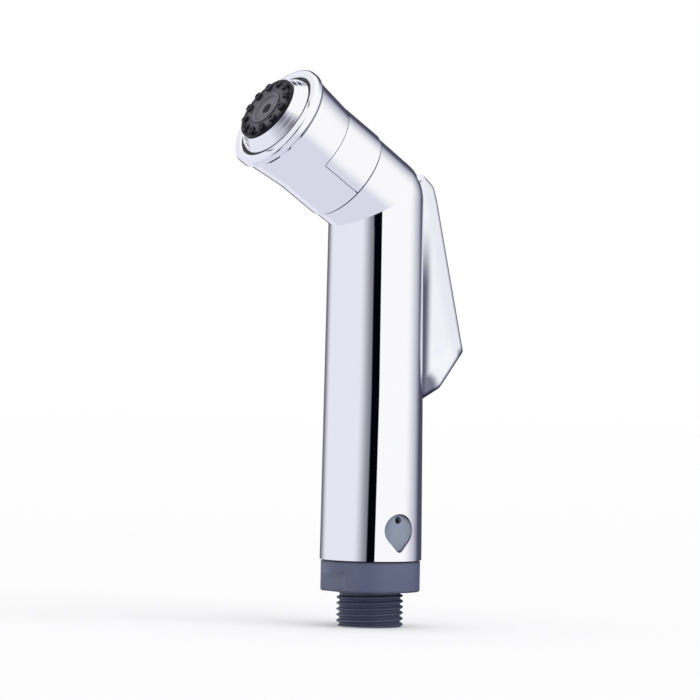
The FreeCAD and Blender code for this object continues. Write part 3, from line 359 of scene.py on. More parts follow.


def make_fine_grain():
    """Fine moulded grain: a height for bump, and a value for colour."""
    desk, given, result = new_group("fine_grain", {"Position": "Vector", "Scale": "Float"},
                                    {"Height": "Float", "Cloud": "Float"})
    grain = desk.add("ShaderNodeTexNoise", inputs={
        "Vector": given["Position"], "Scale": given["Scale"], "Detail": 3.0, "Roughness": 0.62})
    cloud_scale = desk.math("MULTIPLY", given["Scale"], CLOUDS_PER_GRAIN)
    cloud = desk.add("ShaderNodeTexNoise", inputs={
        "Vector": given["Position"], "Scale": cloud_scale, "Detail": 4.0, "Roughness": 0.5})
    desk.feed(result["Height"], grain.outputs["Fac"])
    desk.feed(result["Cloud"], desk.spread(cloud.outputs["Fac"], 0.34, 0.66))


def make_handling_marks():
    """Soft smudges and a few dried drops: a mask from clean to marked."""
    desk, given, result = new_group("handling_marks", {
        "Position": "Vector", "Scale": "Float", "Cover": "Float"}, {"Mask": "Float"})
    smudge = desk.add("ShaderNodeTexNoise", inputs={
        "Vector": given["Position"], "Scale": given["Scale"], "Detail": 5.0, "Roughness": 0.58,
        "Distortion": 0.6})
    edge = desk.math("SUBTRACT", 0.8, desk.math("MULTIPLY", given["Cover"], 0.55))
    smudged = desk.spread(smudge.outputs["Fac"], edge, desk.math("ADD", edge, 0.16))
    drop_scale = desk.math("MULTIPLY", given["Scale"], DROPS_PER_SMUDGE)
    drops = desk.add("ShaderNodeTexVoronoi", inputs={
        "Vector": given["Position"], "Scale": drop_scale, "Randomness": 1.0})
    rim = desk.spread(desk.math("ABSOLUTE", desk.math("SUBTRACT", drops.outputs["Distance"], 0.2)),
                      0.0, 0.05, 1.0, 0.0)
    chosen = desk.spread(smudge.outputs["Fac"], 0.56, 0.62)
    dried = desk.math("MULTIPLY", rim, desk.math("MULTIPLY", chosen, given["Cover"]))
    desk.feed(result["Mask"], desk.math("MAXIMUM", smudged, dried))


def make_corner_wear():
    """Rubbed corners: a mask that is high where the surface turns outwards sharply."""
    desk, given, result = new_group("corner_wear", {"Position": "Vector", "Amount": "Float"},
                                    {"Mask": "Float"})
    shape = desk.add("ShaderNodeNewGeometry")
    corner = desk.spread(shape.outputs["Pointiness"], 0.505, 0.56)
    patch = desk.add("ShaderNodeTexNoise", inputs={
        "Vector": given["Position"], "Scale": 420.0, "Detail": 4.0, "Roughness": 0.6})
    broken = desk.spread(patch.outputs["Fac"], 0.38, 0.6)
    worn = desk.math("MULTIPLY", corner, broken)
    desk.feed(result["Mask"], desk.math("MULTIPLY", worn, given["Amount"]))


def make_crease_shade():
    """Painted shade in narrow seams and inner corners, darkest where they are most closed in: a
    mask.
    """
    desk, given, result = new_group("crease_shade", {
        "Position": "Vector", "Width": "Float", "Open": "Float"}, {"Mask": "Float"})
    closed_in = desk.add("ShaderNodeAmbientOcclusion", settings={"samples": 8}, inputs={
        "Distance": given["Width"]})
    patch = desk.add("ShaderNodeTexNoise", inputs={
        "Vector": given["Position"], "Scale": 260.0, "Detail": 3.0, "Roughness": 0.6})
    uneven = desk.math("MULTIPLY", patch.outputs["Fac"], 0.1)
    reach = desk.math("ADD", closed_in.outputs["AO"], uneven)
    shut = desk.math("SUBTRACT", given["Open"], SEAM_FADE)
    desk.feed(result["Mask"], desk.spread(reach, shut, given["Open"], 1.0, 0.0))


def make_turning_lines():
    """Fine lines round a turned part: a height, and a value for roughness."""
    desk, given, result = new_group("turning_lines", {"Position": "Vector", "Scale": "Float"},
                                    {"Height": "Float", "Value": "Float"})
    bands = {"wave_type": "BANDS", "bands_direction": "X"}
    lines = desk.add("ShaderNodeTexWave", settings=bands, inputs={
        "Vector": given["Position"], "Scale": given["Scale"], "Distortion": 1.4, "Detail": 3.0,
        "Detail Scale": 2.0})
    desk.feed(result["Height"], lines.outputs["Fac"])
    desk.feed(result["Value"], desk.spread(lines.outputs["Fac"], 0.2, 0.9))


EFFECTS = {
    "fine_grain": make_fine_grain,
    "handling_marks": make_handling_marks,
    "corner_wear": make_corner_wear,
    "crease_shade": make_crease_shade,
    "turning_lines": make_turning_lines,
}


def effect(desk, name, **inputs):
    """Places one of the node groups, made the first time it is asked for."""
    if name not in bpy.data.node_groups:
        EFFECTS[name]()
    node = desk.nodes.new("ShaderNodeGroup")
    node.node_tree = bpy.data.node_groups[name]
    for key, item in inputs.items():
        desk.feed(node.inputs[key.replace("_", " ").title()], item)
    return node.outputs


def empty_desk(owner):
    """The desk of a material or world whose nodes are all taken away."""
    owner.use_nodes = True
    owner.node_tree.nodes.clear()
    return NodeDesk(owner.node_tree)


def new_material(name, **constants):
    """A material with one Principled shader: (material, desk, shader, place on the object)."""
    material = bpy.data.materials.new(name)
    desk = empty_desk(material)
    shader = desk.add("ShaderNodeBsdfPrincipled")
    for key, item in constants.items():
        shader.inputs[key.replace("_", " ")].default_value = item
    desk.add("ShaderNodeOutputMaterial", inputs={"Surface": shader.outputs["BSDF"]})
    place = desk.add("ShaderNodeTexCoord").outputs["Object"]
    return material, desk, shader.inputs, place


def bump(desk, shader, height, depth):
    """Puts a height on the shader's normal, with the depth in metres."""
    node = desk.add("ShaderNodeBump", inputs={"Height": height, "Distance": depth, "Strength": 1.0})
    desk.feed(shader["Normal"], node.outputs["Normal"])


def far_along(desk, place, start, axis):
    """How far a place lies from a point, measured along an axis."""
    return desk.math("SUBTRACT", desk.measure("DOT_PRODUCT", place, axis), start.dot(axis))


def far_from(desk, place, start, axis):
    """How far a place lies from an axis through a point."""
    lengths = (desk.measure("DISTANCE", place, start), far_along(desk, place, start, axis))
    squares = [desk.math("MULTIPLY", item, item) for item in lengths]
    return desk.math("SQRT", desk.math("SUBTRACT", *squares, clamp=True))


def far_out(desk, spot):
    """How far a place lies from the upright axis."""
    squares = [desk.math("MULTIPLY", spot[name], spot[name]) for name in "XY"]
    return desk.math("SQRT", desk.math("ADD", *squares))


def head_line(shape):
    """The head's axis: the bend's centre and the direction that the head points in."""
    return (Vector((0.0, 0.0, shape.bend)),
            Vector((-math.sin(shape.tilt), 0.0, math.cos(shape.tilt))))


def trigger_painted_shade(desk, place, finish, shape, colour):
    """The trigger's plate with painted shade at its root, a painted shadow at its heel, a painted
    dark reflection at its tip and a painted band of darker reflection along its back edge.
    """
    spot = desk.add("ShaderNodeSeparateXYZ", inputs={"Vector": place}).outputs
    handle_radius = (shape.foot_radius + shape.bend_radius) / 2.0
    # Painted shade on the trigger's side near the handle, fading out towards the bend.
    out = desk.math("SUBTRACT", far_out(desk, spot), handle_radius)
    low = desk.spread(spot["Z"], *(shape.bend - depth for depth in ROOT_FADE), 1.0, 0.0)
    root = desk.spread(out, ROOT_CORE * finish.root, finish.root, 1.0, 0.0)
    dull = desk.math("MULTIPLY", root, low)
    # A painted shadow at the lower corner and a painted dark reflection at the tip.
    for (point, cover), width in ((HEEL, finish.heel), (TIP, finish.tip)):
        apart = desk.measure("DISTANCE", place, point)
        patch = desk.spread(apart, PATCH_CORE * width, width, cover, 0.0)
        dull = desk.math("MAXIMUM", dull, patch)
    # A painted band of darker reflection along the back edge.
    edge = far_along(desk, place, *BACK_EDGE)
    wear_and_edge_shade = desk.spread(edge, -EDGE_BAND_FADE[0], -EDGE_BAND_FADE[1], 0.0, EDGE_BAND_SHARE)
    return desk.mix(dull, desk.mix(wear_and_edge_shade, colour, finish.wear_and_edge_shade), finish.root_shade)


def chrome_material(name, finish, cover, neck=None, handle=None):
    """Bright plate over a faintly waved moulding, with smudges, dried drops and painted shade in
    seams; where asked, painted shade at the neck's end and painted shade and reflection on the
    trigger.
    """
    material, desk, shader, place = new_material(name, Metallic=1.0)
    marks = effect(desk, "handling_marks", position=place, scale=finish.marks, cover=cover)
    colour = desk.mix(marks["Mask"], finish.plate, finish.film)
    if handle:
        colour = trigger_painted_shade(desk, place, finish, handle, colour)
    # Painted shade: the plate darkens in seams and inner corners, the more closed in, the darker.
    seam_shade = effect(desk, "crease_shade", position=place, width=finish.seam, open=finish.seam_open)
    colour = desk.mix(seam_shade["Mask"], colour, finish.seam_shade)
    # Painted shade: a dark line along the neck's end, at its seam.
    if neck:
        edge = desk.spread(far_along(desk, place, *neck), -finish.edge * (1.0 + EDGE_FADE),
                           -finish.edge * (1.0 - EDGE_FADE))
        colour = desk.mix(edge, colour, finish.neck_edge_shade)
    desk.feed(shader["Base Color"], colour)
    dulled = desk.math("MULTIPLY", marks["Mask"], finish.dulled - finish.polish)
    desk.feed(shader["Roughness"], desk.math("ADD", dulled, finish.polish))
    waves = desk.add("ShaderNodeTexNoise", inputs={
        "Vector": place, "Scale": finish.waves, "Detail": 1.0, "Roughness": 0.4})
    bump(desk, shader, waves.outputs["Fac"], finish.ripple)
    return material


def moulded_material(name, finish, colours, spread, zones=(), disc=None, wear_and_edge_shade=None, sheen=0.5):
    """Clouded, grained plastic with zones or a disc in their own colours, and rubbed corners."""
    material, desk, shader, place = new_material(name, Metallic=0.0, Specular_IOR_Level=sheen)
    fine = effect(desk, "fine_grain", position=place, scale=finish.grain)
    colour = desk.mix(fine["Cloud"], *colours)
    rough = desk.math("ADD", desk.math("MULTIPLY", fine["Cloud"], spread),
                      finish.satin - spread / 2.0)
    height = desk.add("ShaderNodeSeparateXYZ", inputs={"Vector": place}).outputs["Z"]
    for zone_colour, foot, shares in zones:
        zone = desk.spread(height, foot, foot + ZONE_FADE, *shares)
        colour = desk.mix(zone, colour, zone_colour)
    if disc:
        disc_colour, line, radius, level = disc
        inwards, upwards = DISC_FADE
        inside = desk.spread(far_from(desk, place, *line), radius * inwards, radius, 1.0, 0.0)
        under = desk.spread(far_along(desk, place, *line), level, level + upwards, 1.0, 0.0)
        colour = desk.mix(desk.math("MULTIPLY", inside, under), colour, disc_colour)
    if wear_and_edge_shade:
        rubbed_colour, wear = wear_and_edge_shade
        worn = effect(desk, "corner_wear", position=place, amount=wear)["Mask"]
        colour = desk.mix(worn, colour, rubbed_colour)
        smoother = desk.math("MULTIPLY", worn, ROUGH_STEPS["wear_and_edge_shade"])
        rough = desk.math("SUBTRACT", rough, smoother, clamp=True)
    desk.feed(shader["Base Color"], colour)
    desk.feed(shader["Roughness"], rough)
    bump(desk, shader, fine["Height"], finish.depth)
    return material


def metal_material(name, bright, dull, scale, polish):
    """Turned or drawn metal with fine lines and dull patches."""
    material, desk, shader, place = new_material(name, Metallic=1.0)
    lines = effect(desk, "turning_lines", position=place, scale=scale)
    marks = effect(desk, "handling_marks", position=place, **METAL_MARKS)
    desk.feed(shader["Base Color"], desk.mix(marks["Mask"], bright, dull))
    lined = desk.math("MULTIPLY", lines["Value"], ROUGH_STEPS["lines"])
    marked = desk.math("MULTIPLY", marks["Mask"], ROUGH_STEPS["marks"])
    desk.feed(shader["Roughness"], desk.math("ADD", desk.math("ADD", lined, polish), marked))
    bump(desk, shader, lines["Height"], METAL_RELIEF)
    return material


def rubber_material(finish):
    """Black rubber with a pale bloom."""
    material, desk, shader, place = new_material("rubber", Metallic=0.0, Specular_IOR_Level=0.35)
    fine = effect(desk, "fine_grain", position=place, scale=RUBBER_GRAIN)
    marks = effect(desk, "handling_marks", position=place, **RUBBER_MARKS)
    desk.feed(shader["Base Color"], desk.mix(marks["Mask"], finish.rubber, finish.bloom))
    clouded = desk.math("MULTIPLY", fine["Cloud"], ROUGH_STEPS["rubber"])
    desk.feed(shader["Roughness"], desk.math("ADD", clouded, RUBBER_SATIN))
    bump(desk, shader, fine["Height"], RUBBER_RELIEF)
    return material


def dress(names, material):
    """Gives CAD nodes a finish by way of their objects' material slots."""
    for name in names:
        node = frame["nodes"][name]
        if not node.material_slots:
            node.data.materials.append(material)
        for slot in node.material_slots:
            slot.material = material


def link_mesh(context, name, mesh):
    """A new piece in the scene from a finished mesh."""
    data = bpy.data.meshes.new(name)
    mesh.to_mesh(data)
    mesh.free()
    return link_data(context, name, data)


def link_data(context, name, data):
    """A new object in the scene from its data."""
    piece = bpy.data.objects.new(name, data)
    context.scene.collection.objects.link(piece)
    return piece


def own_mesh(name, node):
    """A copy of a CAD node's mesh without materials, for a piece that takes its place."""
    data = frame["nodes"][node].data.copy()
    data.name = name
    data.materials.clear()
    return data


def cone_normal(corner, base, axis, radii, tall, near):
    """The exact outward direction on a cone, or nothing where the corner isn't on it."""
    offset = corner - base
    along = offset.dot(axis)
    outward = offset - axis * along
    widening = (radii[1] - radii[0]) / tall
    off = abs(outward.length - radii[0] - widening * along)
    if off > near or not -near < along < tall + near:
        return None
    return (outward.normalized() - axis * widening).normalized()


def ball_normal(corner, centre, radius, near):
    """The exact outward direction on a ball, or nothing where the corner isn't on it."""
    offset = corner - centre
    return offset.normalized() if abs(offset.length - radius) < near else None


FACING = 0.93  # least cosine between a face and the true surface that it belongs to


def build_handle_skin(context):
    """The handle, bend and neck with exact normals of cones and ball, to mirror cleanly."""
    shape = context.scene.handle_shape
    bend, head = head_line(shape)
    handle = (UP * shape.foot, UP, (shape.foot_radius, shape.bend_radius), shape.bend - shape.foot)
    neck = (bend, head, (shape.bend_radius, shape.neck_radius), shape.neck)
    surfaces = (
        lambda corner: cone_normal(corner, *handle, shape.near),
        lambda corner: cone_normal(corner, *neck, shape.near),
        lambda corner: ball_normal(corner, bend, shape.bend_radius, shape.near),
    )
    data = own_mesh("handle_skin", "body_shell")
    normals = [corner.vector.copy() for corner in data.corner_normals]
    mended = 0
    for face in data.polygons:
        corners = [data.vertices[index].co for index in face.vertices]
        for surface in surfaces:
            exact = [surface(corner) for corner in corners]
            if all(exact) and all(normal.dot(face.normal) > FACING for normal in exact):
                for loop, direction in zip(face.loop_indices, exact):
                    normals[loop] = direction
                mended += 1
                break
    if not mended:
        raise RuntimeError("the handle's true surfaces were not found")
    data.normals_split_custom_set(normals)
    piece = link_data(context, "handle_skin", data)
    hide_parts("body_shell")
    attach(piece, "handset")
    return piece


# The thread: what share of a ridge's side is flat at its root, how much of it rises, and how much
# of that rise is straight; the fade into the undercut, in undercuts; the steepness of the chamfer.
ROOT_FLAT, FLANK, STRAIGHT = 0.1, 0.8, 0.2
RELIEF_END, RELIEF_FADE = 0.55, 0.6
LEAD_SLOPE = 1.6
ROUND_OFF = 2e-5  # metres that a corner of the CAD's thread may lie off its radius
RIM_OFF = 1e-4  # metres round the crest in which the collar's rim is looked for
WELD = 1e-7  # metres between corners of the wound grid that are joined
NO_LENGTH = 1e-9  # metres under which a side of the grid is left out
WOUND_RIM = (0.8, 1.001)  # radii, in crests, between which the grid's own rims lie
SHARP_ANGLE = math.radians(38.0)


def held(value, low=0.0, high=1.0):
    """The value, kept between two limits."""
    return min(max(value, low), high)


def ridge(phase):
    """Height of a rounded thread ridge, from root to crest, over one turn."""
    slope = 1.0 - abs(phase - 0.5) * 2.0
    rise = held((slope - ROOT_FLAT) / FLANK)
    eased = rise * rise * (3.0 - 2.0 * rise)
    return STRAIGHT * rise + (1.0 - STRAIGHT) * eased


def thread_radius(shape, angle, height, top):
    """Radius of the threaded surface at an angle and height."""
    phase = (height / shape.pitch - angle / (2.0 * math.pi)) % 1.0
    root = shape.crest - shape.depth
    radius = root + shape.depth * ridge(phase)
    fade = held((top - height - shape.relief * RELIEF_END) / (shape.relief * RELIEF_FADE))
    radius = root + (radius - root) * fade
    chamfer = shape.crest - shape.lead * LEAD_SLOPE + height * LEAD_SLOPE
    return min(radius, max(chamfer, root))


def add_thread(mesh, shape, top):
    """Adds the wound grid: its rows run along the ridges and are cut off at both ends."""
    first, last = -shape.rows, math.ceil(top / shape.pitch * shape.rows)
    made = []
    for column in range(shape.columns + 1):
        angle = 2.0 * math.pi * column / shape.columns
        line = []
        for row in range(first, last + 1):
            height = (row / shape.rows + angle / (2.0 * math.pi)) * shape.pitch
            height = held(height, 0.0, top)
            radius = thread_radius(shape, angle, height, top)
            place = (radius * math.cos(angle), radius * math.sin(angle), height)
            line.append(mesh.verts.new(place))
        made.append(line)
    for here, beside in zip(made, made[1:]):
        for row in range(len(here) - 1):
            sides = (line[row].co - line[row + 1].co for line in (here, beside))
            if any(side.length > NO_LENGTH for side in sides):
                mesh.faces.new((here[row], beside[row], beside[row + 1], here[row + 1]))
    loose = [vertex for vertex in mesh.verts if not vertex.link_faces]
    bmesh.ops.delete(mesh, geom=loose, context="VERTS")


def rim_at(mesh, height, low, high):
    """Open edges of the mesh at one height, between two radii."""
    return [edge for edge in mesh.edges if edge.is_boundary and all(
        abs(vertex.co.z - height) < SAME_PLACE and low < vertex.co.xy.length < high
        for vertex in edge.verts)]


def build_hose_inlet(context):
    """The inlet moulding with its wound thread in place of the plain cylinder."""
    shape = context.scene.thread_shape
    top = shape.lead + shape.wall
    mesh = bmesh.new()
    mesh.from_mesh(frame["nodes"]["inlet_core"].data)
    bmesh.ops.remove_doubles(mesh, verts=mesh.verts, dist=SAME_PLACE)
    inner, outer = shape.crest - shape.lead - ROUND_OFF, shape.crest + ROUND_OFF
    outside = [face for face in mesh.faces if all(
        vertex.co.z < top + SAME_PLACE and inner < vertex.co.xy.length < outer
        for vertex in face.verts)]
    end_face = [face for face in mesh.faces if all(
        abs(vertex.co.z) < SAME_PLACE for vertex in face.verts)]
    bmesh.ops.delete(mesh, geom=list(set(outside + end_face)), context="FACES")
    foot_rim = rim_at(mesh, 0.0, 0.0, shape.crest)
    collar_rim = rim_at(mesh, top, shape.crest - RIM_OFF, shape.crest + RIM_OFF)
    if not foot_rim or not collar_rim:
        raise RuntimeError("the inlet's rims for the thread were not found")
    old = set(mesh.edges)
    add_thread(mesh, shape, top)
    fresh = [vertex for vertex in mesh.verts if not any(edge in old for edge in vertex.link_edges)]
    bmesh.ops.remove_doubles(mesh, verts=fresh, dist=WELD)
    radii = [shape.crest * part for part in WOUND_RIM]
    for rim, height in ((foot_rim, 0.0), (collar_rim, top)):
        known = set(rim)
        wound = [edge for edge in rim_at(mesh, height, *radii) if edge not in known]
        bmesh.ops.bridge_loops(mesh, edges=rim + wound)
    bmesh.ops.recalc_face_normals(mesh, faces=mesh.faces)
    piece = link_mesh(context, "hose_inlet", mesh)
    piece.data.shade_smooth()
    piece.data.set_sharp_from_angle(angle=SHARP_ANGLE)
    keep_flats = piece.modifiers.new("keep_flats", "WEIGHTED_NORMAL")
    keep_flats.keep_sharp = True
    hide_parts("inlet_core")
    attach(piece, "handset")
    return piece


def build_valve_coil(context, steel):
    """The valve's spring as a piece of its own in steel, carried with the handset."""
    piece = link_data(context, "valve_coil", own_mesh("valve_coil", "valve_spring"))
    piece.data.materials.append(steel)
    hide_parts("valve_spring")
    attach(piece, "handset")
    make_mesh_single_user(piece)
    return piece


class HANDSET_OT_chrome(bpy.types.Operator):
    """Plates the handle, trigger, turning ring, band and bezel"""
    bl_idname = "handset.chrome"
    bl_label = "Plate the chrome parts"

    def execute(self, context):
        finish = context.scene.chrome_finish
        shape = context.scene.handle_shape
        bend, head = head_line(shape)
        neck = (bend + head * shape.neck, head)
        handle_plate = chrome_material("handle_plate", finish, finish.cover, neck=neck)
        build_handle_skin(context).data.materials.append(handle_plate)
        dress(["body_shell"], handle_plate)
        dress(CHROME_NODES, chrome_material("chrome_plate", finish, finish.cover))
        # The trigger's plate carries painted shade and painted reflection.
        thumbed_shaded_plate = chrome_material("thumbed_shaded_plate", finish, finish.thumbed, handle=shape)
        dress(["trigger_lever"], thumbed_shaded_plate)
        return {"FINISHED"}


class HANDSET_OT_inlet(bpy.types.Operator):
    """Builds the inlet moulding with its hose thread, collar and snap tongues"""
    bl_idname = "handset.inlet"
    bl_label = "Build the threaded inlet"

    def execute(self, context):
        finish = context.scene.inlet_finish
        # From the collar's upper edge a painted shadow under the handle's foot, then the paler
        # tongues, and below the collar a darker thread.
        zones = ((finish.thread, finish.shade_foot, (0.0, finish.shade)),
                 (finish.tongue, finish.tongue_foot, (0.0, 1.0)),
                 (finish.thread, finish.thread_end, (finish.darkened, 0.0)))
        material = moulded_material("blue_grey_plastic", finish, (finish.body, finish.deep),
                                    finish.spread, zones=zones)
        build_hose_inlet(context).data.materials.append(material)
        dress(["inlet_core"], material)
        return {"FINISHED"}


class HANDSET_OT_nozzle(bpy.types.Operator):
    """Finishes the nubbed insert and the jet core"""
    bl_idname = "handset.nozzle"
    bl_label = "Finish the nozzle"

    def execute(self, context):
        finish = context.scene.nozzle_finish
        line = head_line(context.scene.handle_shape)
        dress(["nozzle_insert"], moulded_material(
            "dark_plastic", finish, (finish.insert, finish.insert), finish.spread,
            disc=(finish.face, line, finish.face_radius, finish.face_level),
            wear_and_edge_shade=(finish.insert_high, finish.wear), sheen=finish.sheen))
        dress(["jet_core"], moulded_material(
            "grey_plastic", finish, (finish.core, finish.core_deep), finish.core_spread))
        return {"FINISHED"}


class HANDSET_OT_insides(bpy.types.Operator):
    """Finishes the valve, the elbow, the rings and the small metal parts inside"""
    bl_idname = "handset.insides"
    bl_label = "Finish the insides"

    def execute(self, context):
        finish = context.scene.inside_finish
        dress(WHITE_NODES, moulded_material(
            "white_plastic", finish, (finish.acetal, finish.acetal_deep), finish.spread))
        dress(RUBBER_NODES, rubber_material(finish))
        dress(["valve_stem"], metal_material("brass", finish.brass, finish.brass_dull,
                                             finish.lines, finish.brass_polish))
        steel = metal_material("steel", finish.steel, finish.steel_dull,
                               finish.lines, finish.steel_polish)
        dress(STEEL_NODES, steel)
        build_valve_coil(context, steel)
        return {"FINISHED"}


# Patches on the round wall that the chrome mirrors. Their edges and the widths over which these
# fade are in degrees to the right of the camera. They lean by so many degrees in a metre, up to a
# height. They rise from one height to another, with blurs in metres at both.
PATCHES = {
    "left_wall": {
        "edges": (-200.0, -9.0), "fades": (1.0, 2.0), "lean": (66.0, 0.3),
        "rise": (-1.0, 0.6), "blurs": (0.1, 0.4), "paint": (0.83, 0.825, 0.92)},
    "left_rim": {
        "edges": (-200.0, -138.0), "fades": (1.0, 36.0), "lean": (0.0, 1.0),
        "rise": (-0.03, 0.152), "blurs": (0.04, 0.012), "paint": (0.17, 0.168, 0.19)},
    "back_rim": {
        "edges": (-200.0, -160.0), "fades": (1.0, 24.0), "lean": (0.0, 1.0),
        "rise": (0.2, 0.9), "blurs": (0.1, 0.2), "paint": (0.075, 0.072, 0.115)},
    "stripe_shade": {
        "edges": (-26.0, 7.0), "fades": (30.0, 0.8), "lean": (66.0, 0.078),
        "rise": (-0.2, 0.4), "blurs": (0.06, 0.3), "paint": (0.24, 0.235, 0.28)},
    "stripe": {
        "edges": (-10.0, 8.4), "fades": (4.0, 0.8), "lean": (66.0, 0.078),
        "rise": (-0.2, 0.17), "blurs": (0.06, 0.01), "paint": (0.001, 0.001, 0.004)},
    "stripe_hook": {
        "edges": (-5.0, 6.0), "fades": (6.0, 1.0), "lean": (0.0, 1.0),
        "rise": (0.1525, 0.17), "blurs": (0.002, 0.01), "paint": (0.001, 0.001, 0.004)},
    "right_shade": {
        "edges": (98.0, 230.0), "fades": (44.0, 1.0), "lean": (49.0, 1.0),
        "rise": (-1.0, 0.9), "blurs": (0.1, 0.4), "paint": (0.48, 0.475, 0.57)},
    "right_rim": {
        "edges": (122.0, 230.0), "fades": (26.0, 1.0), "lean": (49.0, 1.0),
        "rise": (-1.0, 0.9), "blurs": (0.1, 0.3), "paint": (0.075, 0.072, 0.115)},
}
# Those that the ground shows too, outside these shares of the wall's radius.
GROUND_PATCHES = ("stripe_shade", "stripe", "right_shade", "right_rim")
GROUND_FADE = (0.4, 0.52)

ROUND_SIDES = 96
KEY_FROM = (0.45, 0.75, 0.8)  # towards the camera, to its right and up
CLOUD_LIFT = 1.006  # how much brighter the floor's pale clouds are
SENSOR_WIDTH = 36.0
CLIP = (0.05, 20.0)


def between(desk, value, ends, fades):
    """A mask that is one between two values and fades out at both."""
    rise = desk.spread(value, ends[0] - fades[0] / 2.0, ends[0] + fades[0] / 2.0)
    fall = desk.spread(value, ends[1] - fades[1] / 2.0, ends[1] + fades[1] / 2.0, 1.0, 0.0)
    return desk.math("MULTIPLY", rise, fall)


def mirrored_stage(context, name, mesh, paint, turned):
    """A glowing piece of the stage that only mirrors see, painted by its own coordinates."""
    piece = link_mesh(context, name, mesh)
    piece.rotation_euler.z = turned
    material = bpy.data.materials.new(name)
    material.cycles.emission_sampling = "NONE"
    desk = empty_desk(material)
    place = desk.add("ShaderNodeTexCoord").outputs["Object"]
    spot = desk.add("ShaderNodeSeparateXYZ", inputs={"Vector": place}).outputs
    glow = desk.add("ShaderNodeEmission", inputs={"Color": paint(desk, spot), "Strength": 1.0})
    desk.add("ShaderNodeOutputMaterial", inputs={"Surface": glow.outputs["Emission"]})
    piece.data.materials.append(material)
    for sight in ("camera", "diffuse", "shadow", "transmission"):
        setattr(piece, "visible_" + sight, False)


def paint_patches(desk, spot, colour, names, reach=None):
    """A colour with patches of the wall on it, in their own heights or wherever reach lets them."""
    bearing = desk.math("ARCTAN2", spot["Y"], spot["X"])
    bearing = desk.math("MULTIPLY", bearing, math.degrees(1.0))
    for patch in (PATCHES[name] for name in names):
        slant, stop = patch["lean"]
        leant = desk.math("MULTIPLY", desk.math("MINIMUM", spot["Z"], stop), slant)
        upright = desk.math("SUBTRACT", bearing, leant)
        across = between(desk, upright, patch["edges"], patch["fades"])
        upwards = reach or between(desk, spot["Z"], patch["rise"], patch["blurs"])
        colour = desk.mix(desk.math("MULTIPLY", across, upwards), colour, patch["paint"])
    return colour


def stand_wall(context, setting, ahead):
    """The round wall with its painted patches, and the ground inside it."""
    turned = math.atan2(ahead.y, ahead.x)

    def wall_paint(desk, spot):
        low = desk.spread(spot["Z"], -setting.wall_foot, setting.pale_foot)
        colour = desk.mix(low, setting.under_paint, setting.wall_paint)
        return paint_patches(desk, spot, colour, PATCHES)

    def under_paint(desk, spot):
        fade = (setting.wall_radius * part for part in GROUND_FADE)
        reach = desk.spread(far_out(desk, spot), *fade)
        return paint_patches(desk, spot, setting.under_paint, GROUND_PATCHES, reach)

    wall = bmesh.new()
    bmesh.ops.create_cone(wall, segments=ROUND_SIDES, depth=setting.wall_top + setting.wall_foot,
                          radius1=setting.wall_radius, radius2=setting.wall_radius)
    middle = (setting.wall_top - setting.wall_foot) / 2.0
    bmesh.ops.translate(wall, verts=wall.verts, vec=UP * middle)
    mirrored_stage(context, "painted_wall", wall, wall_paint, turned)
    ground = bmesh.new()
    bmesh.ops.create_circle(ground, cap_ends=True, segments=ROUND_SIDES, radius=setting.wall_radius)
    bmesh.ops.translate(ground, verts=ground.verts, vec=UP * -setting.wall_foot)
    mirrored_stage(context, "painted_ground", ground, under_paint, turned)


def lay_floor(context, setting):
    """A round pale floor that keeps the shadow; mirrors see the painted ground instead."""
    mesh = bmesh.new()
    bmesh.ops.create_circle(mesh, cap_ends=True, segments=ROUND_SIDES, radius=setting.floor_radius)
    floor = link_mesh(context, "floor", mesh)
    material, desk, shader, place = new_material("floor", Metallic=0.0, Specular_IOR_Level=0.1,
                                                 Roughness=1.0)
    cloud = desk.add("ShaderNodeTexNoise", inputs={"Vector": place, "Scale": 3.0, "Detail": 2.0})
    paler = tuple(min(1.0, channel * CLOUD_LIFT) for channel in setting.floor)
    desk.feed(shader["Base Color"], desk.mix(cloud.outputs["Fac"], setting.floor, paler))
    desk.feed(shader["Emission Color"], WHITE)
    seen = desk.add("ShaderNodeLightPath").outputs["Is Camera Ray"]
    desk.feed(shader["Emission Strength"], desk.math("MULTIPLY", seen, setting.floor_lift))
    floor.data.materials.append(material)
    floor.visible_glossy = False


def light_studio(context, setting, ahead, right):
    """Even white light all round and one soft key from the upper right."""
    world = bpy.data.worlds.new("studio")
    context.scene.world = world
    desk = empty_desk(world)
    path = desk.add("ShaderNodeLightPath").outputs
    mirrored = desk.math("ADD", path["Is Glossy Ray"], path["Is Transmission Ray"])
    seen = desk.math("ADD", path["Is Camera Ray"], mirrored, clamp=True)
    level = desk.math("ADD", desk.math("MULTIPLY", seen, 1.0 - setting.sky), setting.sky)
    back = desk.add("ShaderNodeBackground", inputs={"Color": WHITE, "Strength": level})
    desk.add("ShaderNodeOutputWorld", inputs={"Surface": back.outputs["Background"]})
    lamp = bpy.data.lights.new("key", "SUN")
    lamp.energy = setting.key
    lamp.angle = setting.key_spread
    key = link_data(context, "key", lamp)
    parts = (side * part for side, part in zip((ahead, right, UP), KEY_FROM))
    towards = sum(parts, Vector()).normalized()
    key.rotation_mode = "QUATERNION"
    key.rotation_quaternion = towards.to_track_quat("Z", "Y")
    key.visible_glossy = False


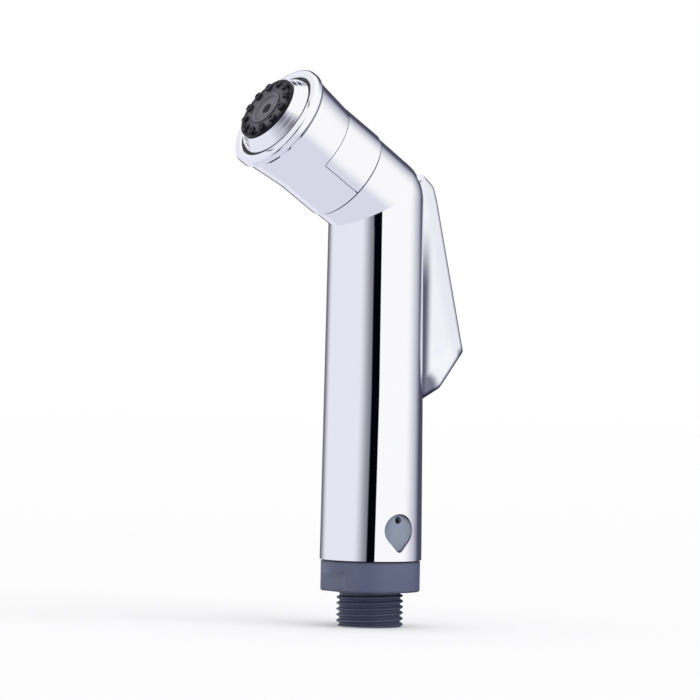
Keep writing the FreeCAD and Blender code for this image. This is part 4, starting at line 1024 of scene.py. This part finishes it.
def place_camera(context, setting, ahead):
    """The camera at the photograph's angle, level and far off, leaning as the photograph does."""
    low, high = CAD_BOX
    middle = (low + high) / 2.0
    data = bpy.data.cameras.new("camera")
    data.sensor_width = SENSOR_WIDTH
    data.lens = data.sensor_width * setting.distance / setting.picture
    data.clip_start, data.clip_end = CLIP
    camera = link_data(context, "camera", data)
    camera.location = middle + ahead * setting.distance
    camera.rotation_mode = "QUATERNION"
    level = ahead.to_track_quat("Z", "Y")
    camera.rotation_quaternion = level @ Quaternion(UP, setting.roll)
    context.scene.camera = camera


class HANDSET_OT_studio(bpy.types.Operator):
    """Sets the floor, the light, the painted wall that chrome mirrors and the camera"""
    bl_idname = "handset.studio"
    bl_label = "Set the studio"

    def execute(self, context):
        setting = context.scene.studio_setting
        ahead = Vector((math.sin(setting.azimuth), -math.cos(setting.azimuth), 0.0))
        right = Vector((-ahead.y, ahead.x, 0.0))
        lay_floor(context, setting)
        light_studio(context, setting, ahead, right)
        stand_wall(context, setting, ahead)
        place_camera(context, setting, ahead)
        context.scene.view_settings.view_transform = "Standard"
        return {"FINISHED"}


STEPS = (HANDSET_OT_chrome, HANDSET_OT_inlet, HANDSET_OT_nozzle, HANDSET_OT_insides,
         HANDSET_OT_studio)


class HANDSET_PT_dressing(bpy.types.Panel):
    """Lists the steps that dress the handset"""
    bl_idname = "HANDSET_PT_dressing"
    bl_label = "Handset"
    bl_space_type = "VIEW_3D"
    bl_region_type = "UI"
    bl_category = "Handset"

    def draw(self, context):
        for step in STEPS:
            self.layout.operator(step.bl_idname)
        for name, group in SETTINGS.items():
            box = self.layout.box()
            box.label(text=group.__doc__)
            for key in group.__annotations__:
                box.prop(getattr(context.scene, name), key)


def register():
    for group in (*SETTINGS.values(), *STEPS, HANDSET_PT_dressing):
        bpy.utils.register_class(group)
    for name, group in SETTINGS.items():
        setattr(bpy.types.Scene, name, PointerProperty(type=group))


def unregister():
    for name in SETTINGS:
        delattr(bpy.types.Scene, name)
    for group in reversed((*SETTINGS.values(), *STEPS, HANDSET_PT_dressing)):
        bpy.utils.unregister_class(group)


def main():
    register()
    for step in STEPS:
        section, call = step.bl_idname.split(".")
        getattr(getattr(bpy.ops, section), call)()


if __name__ == "__main__":
    main()
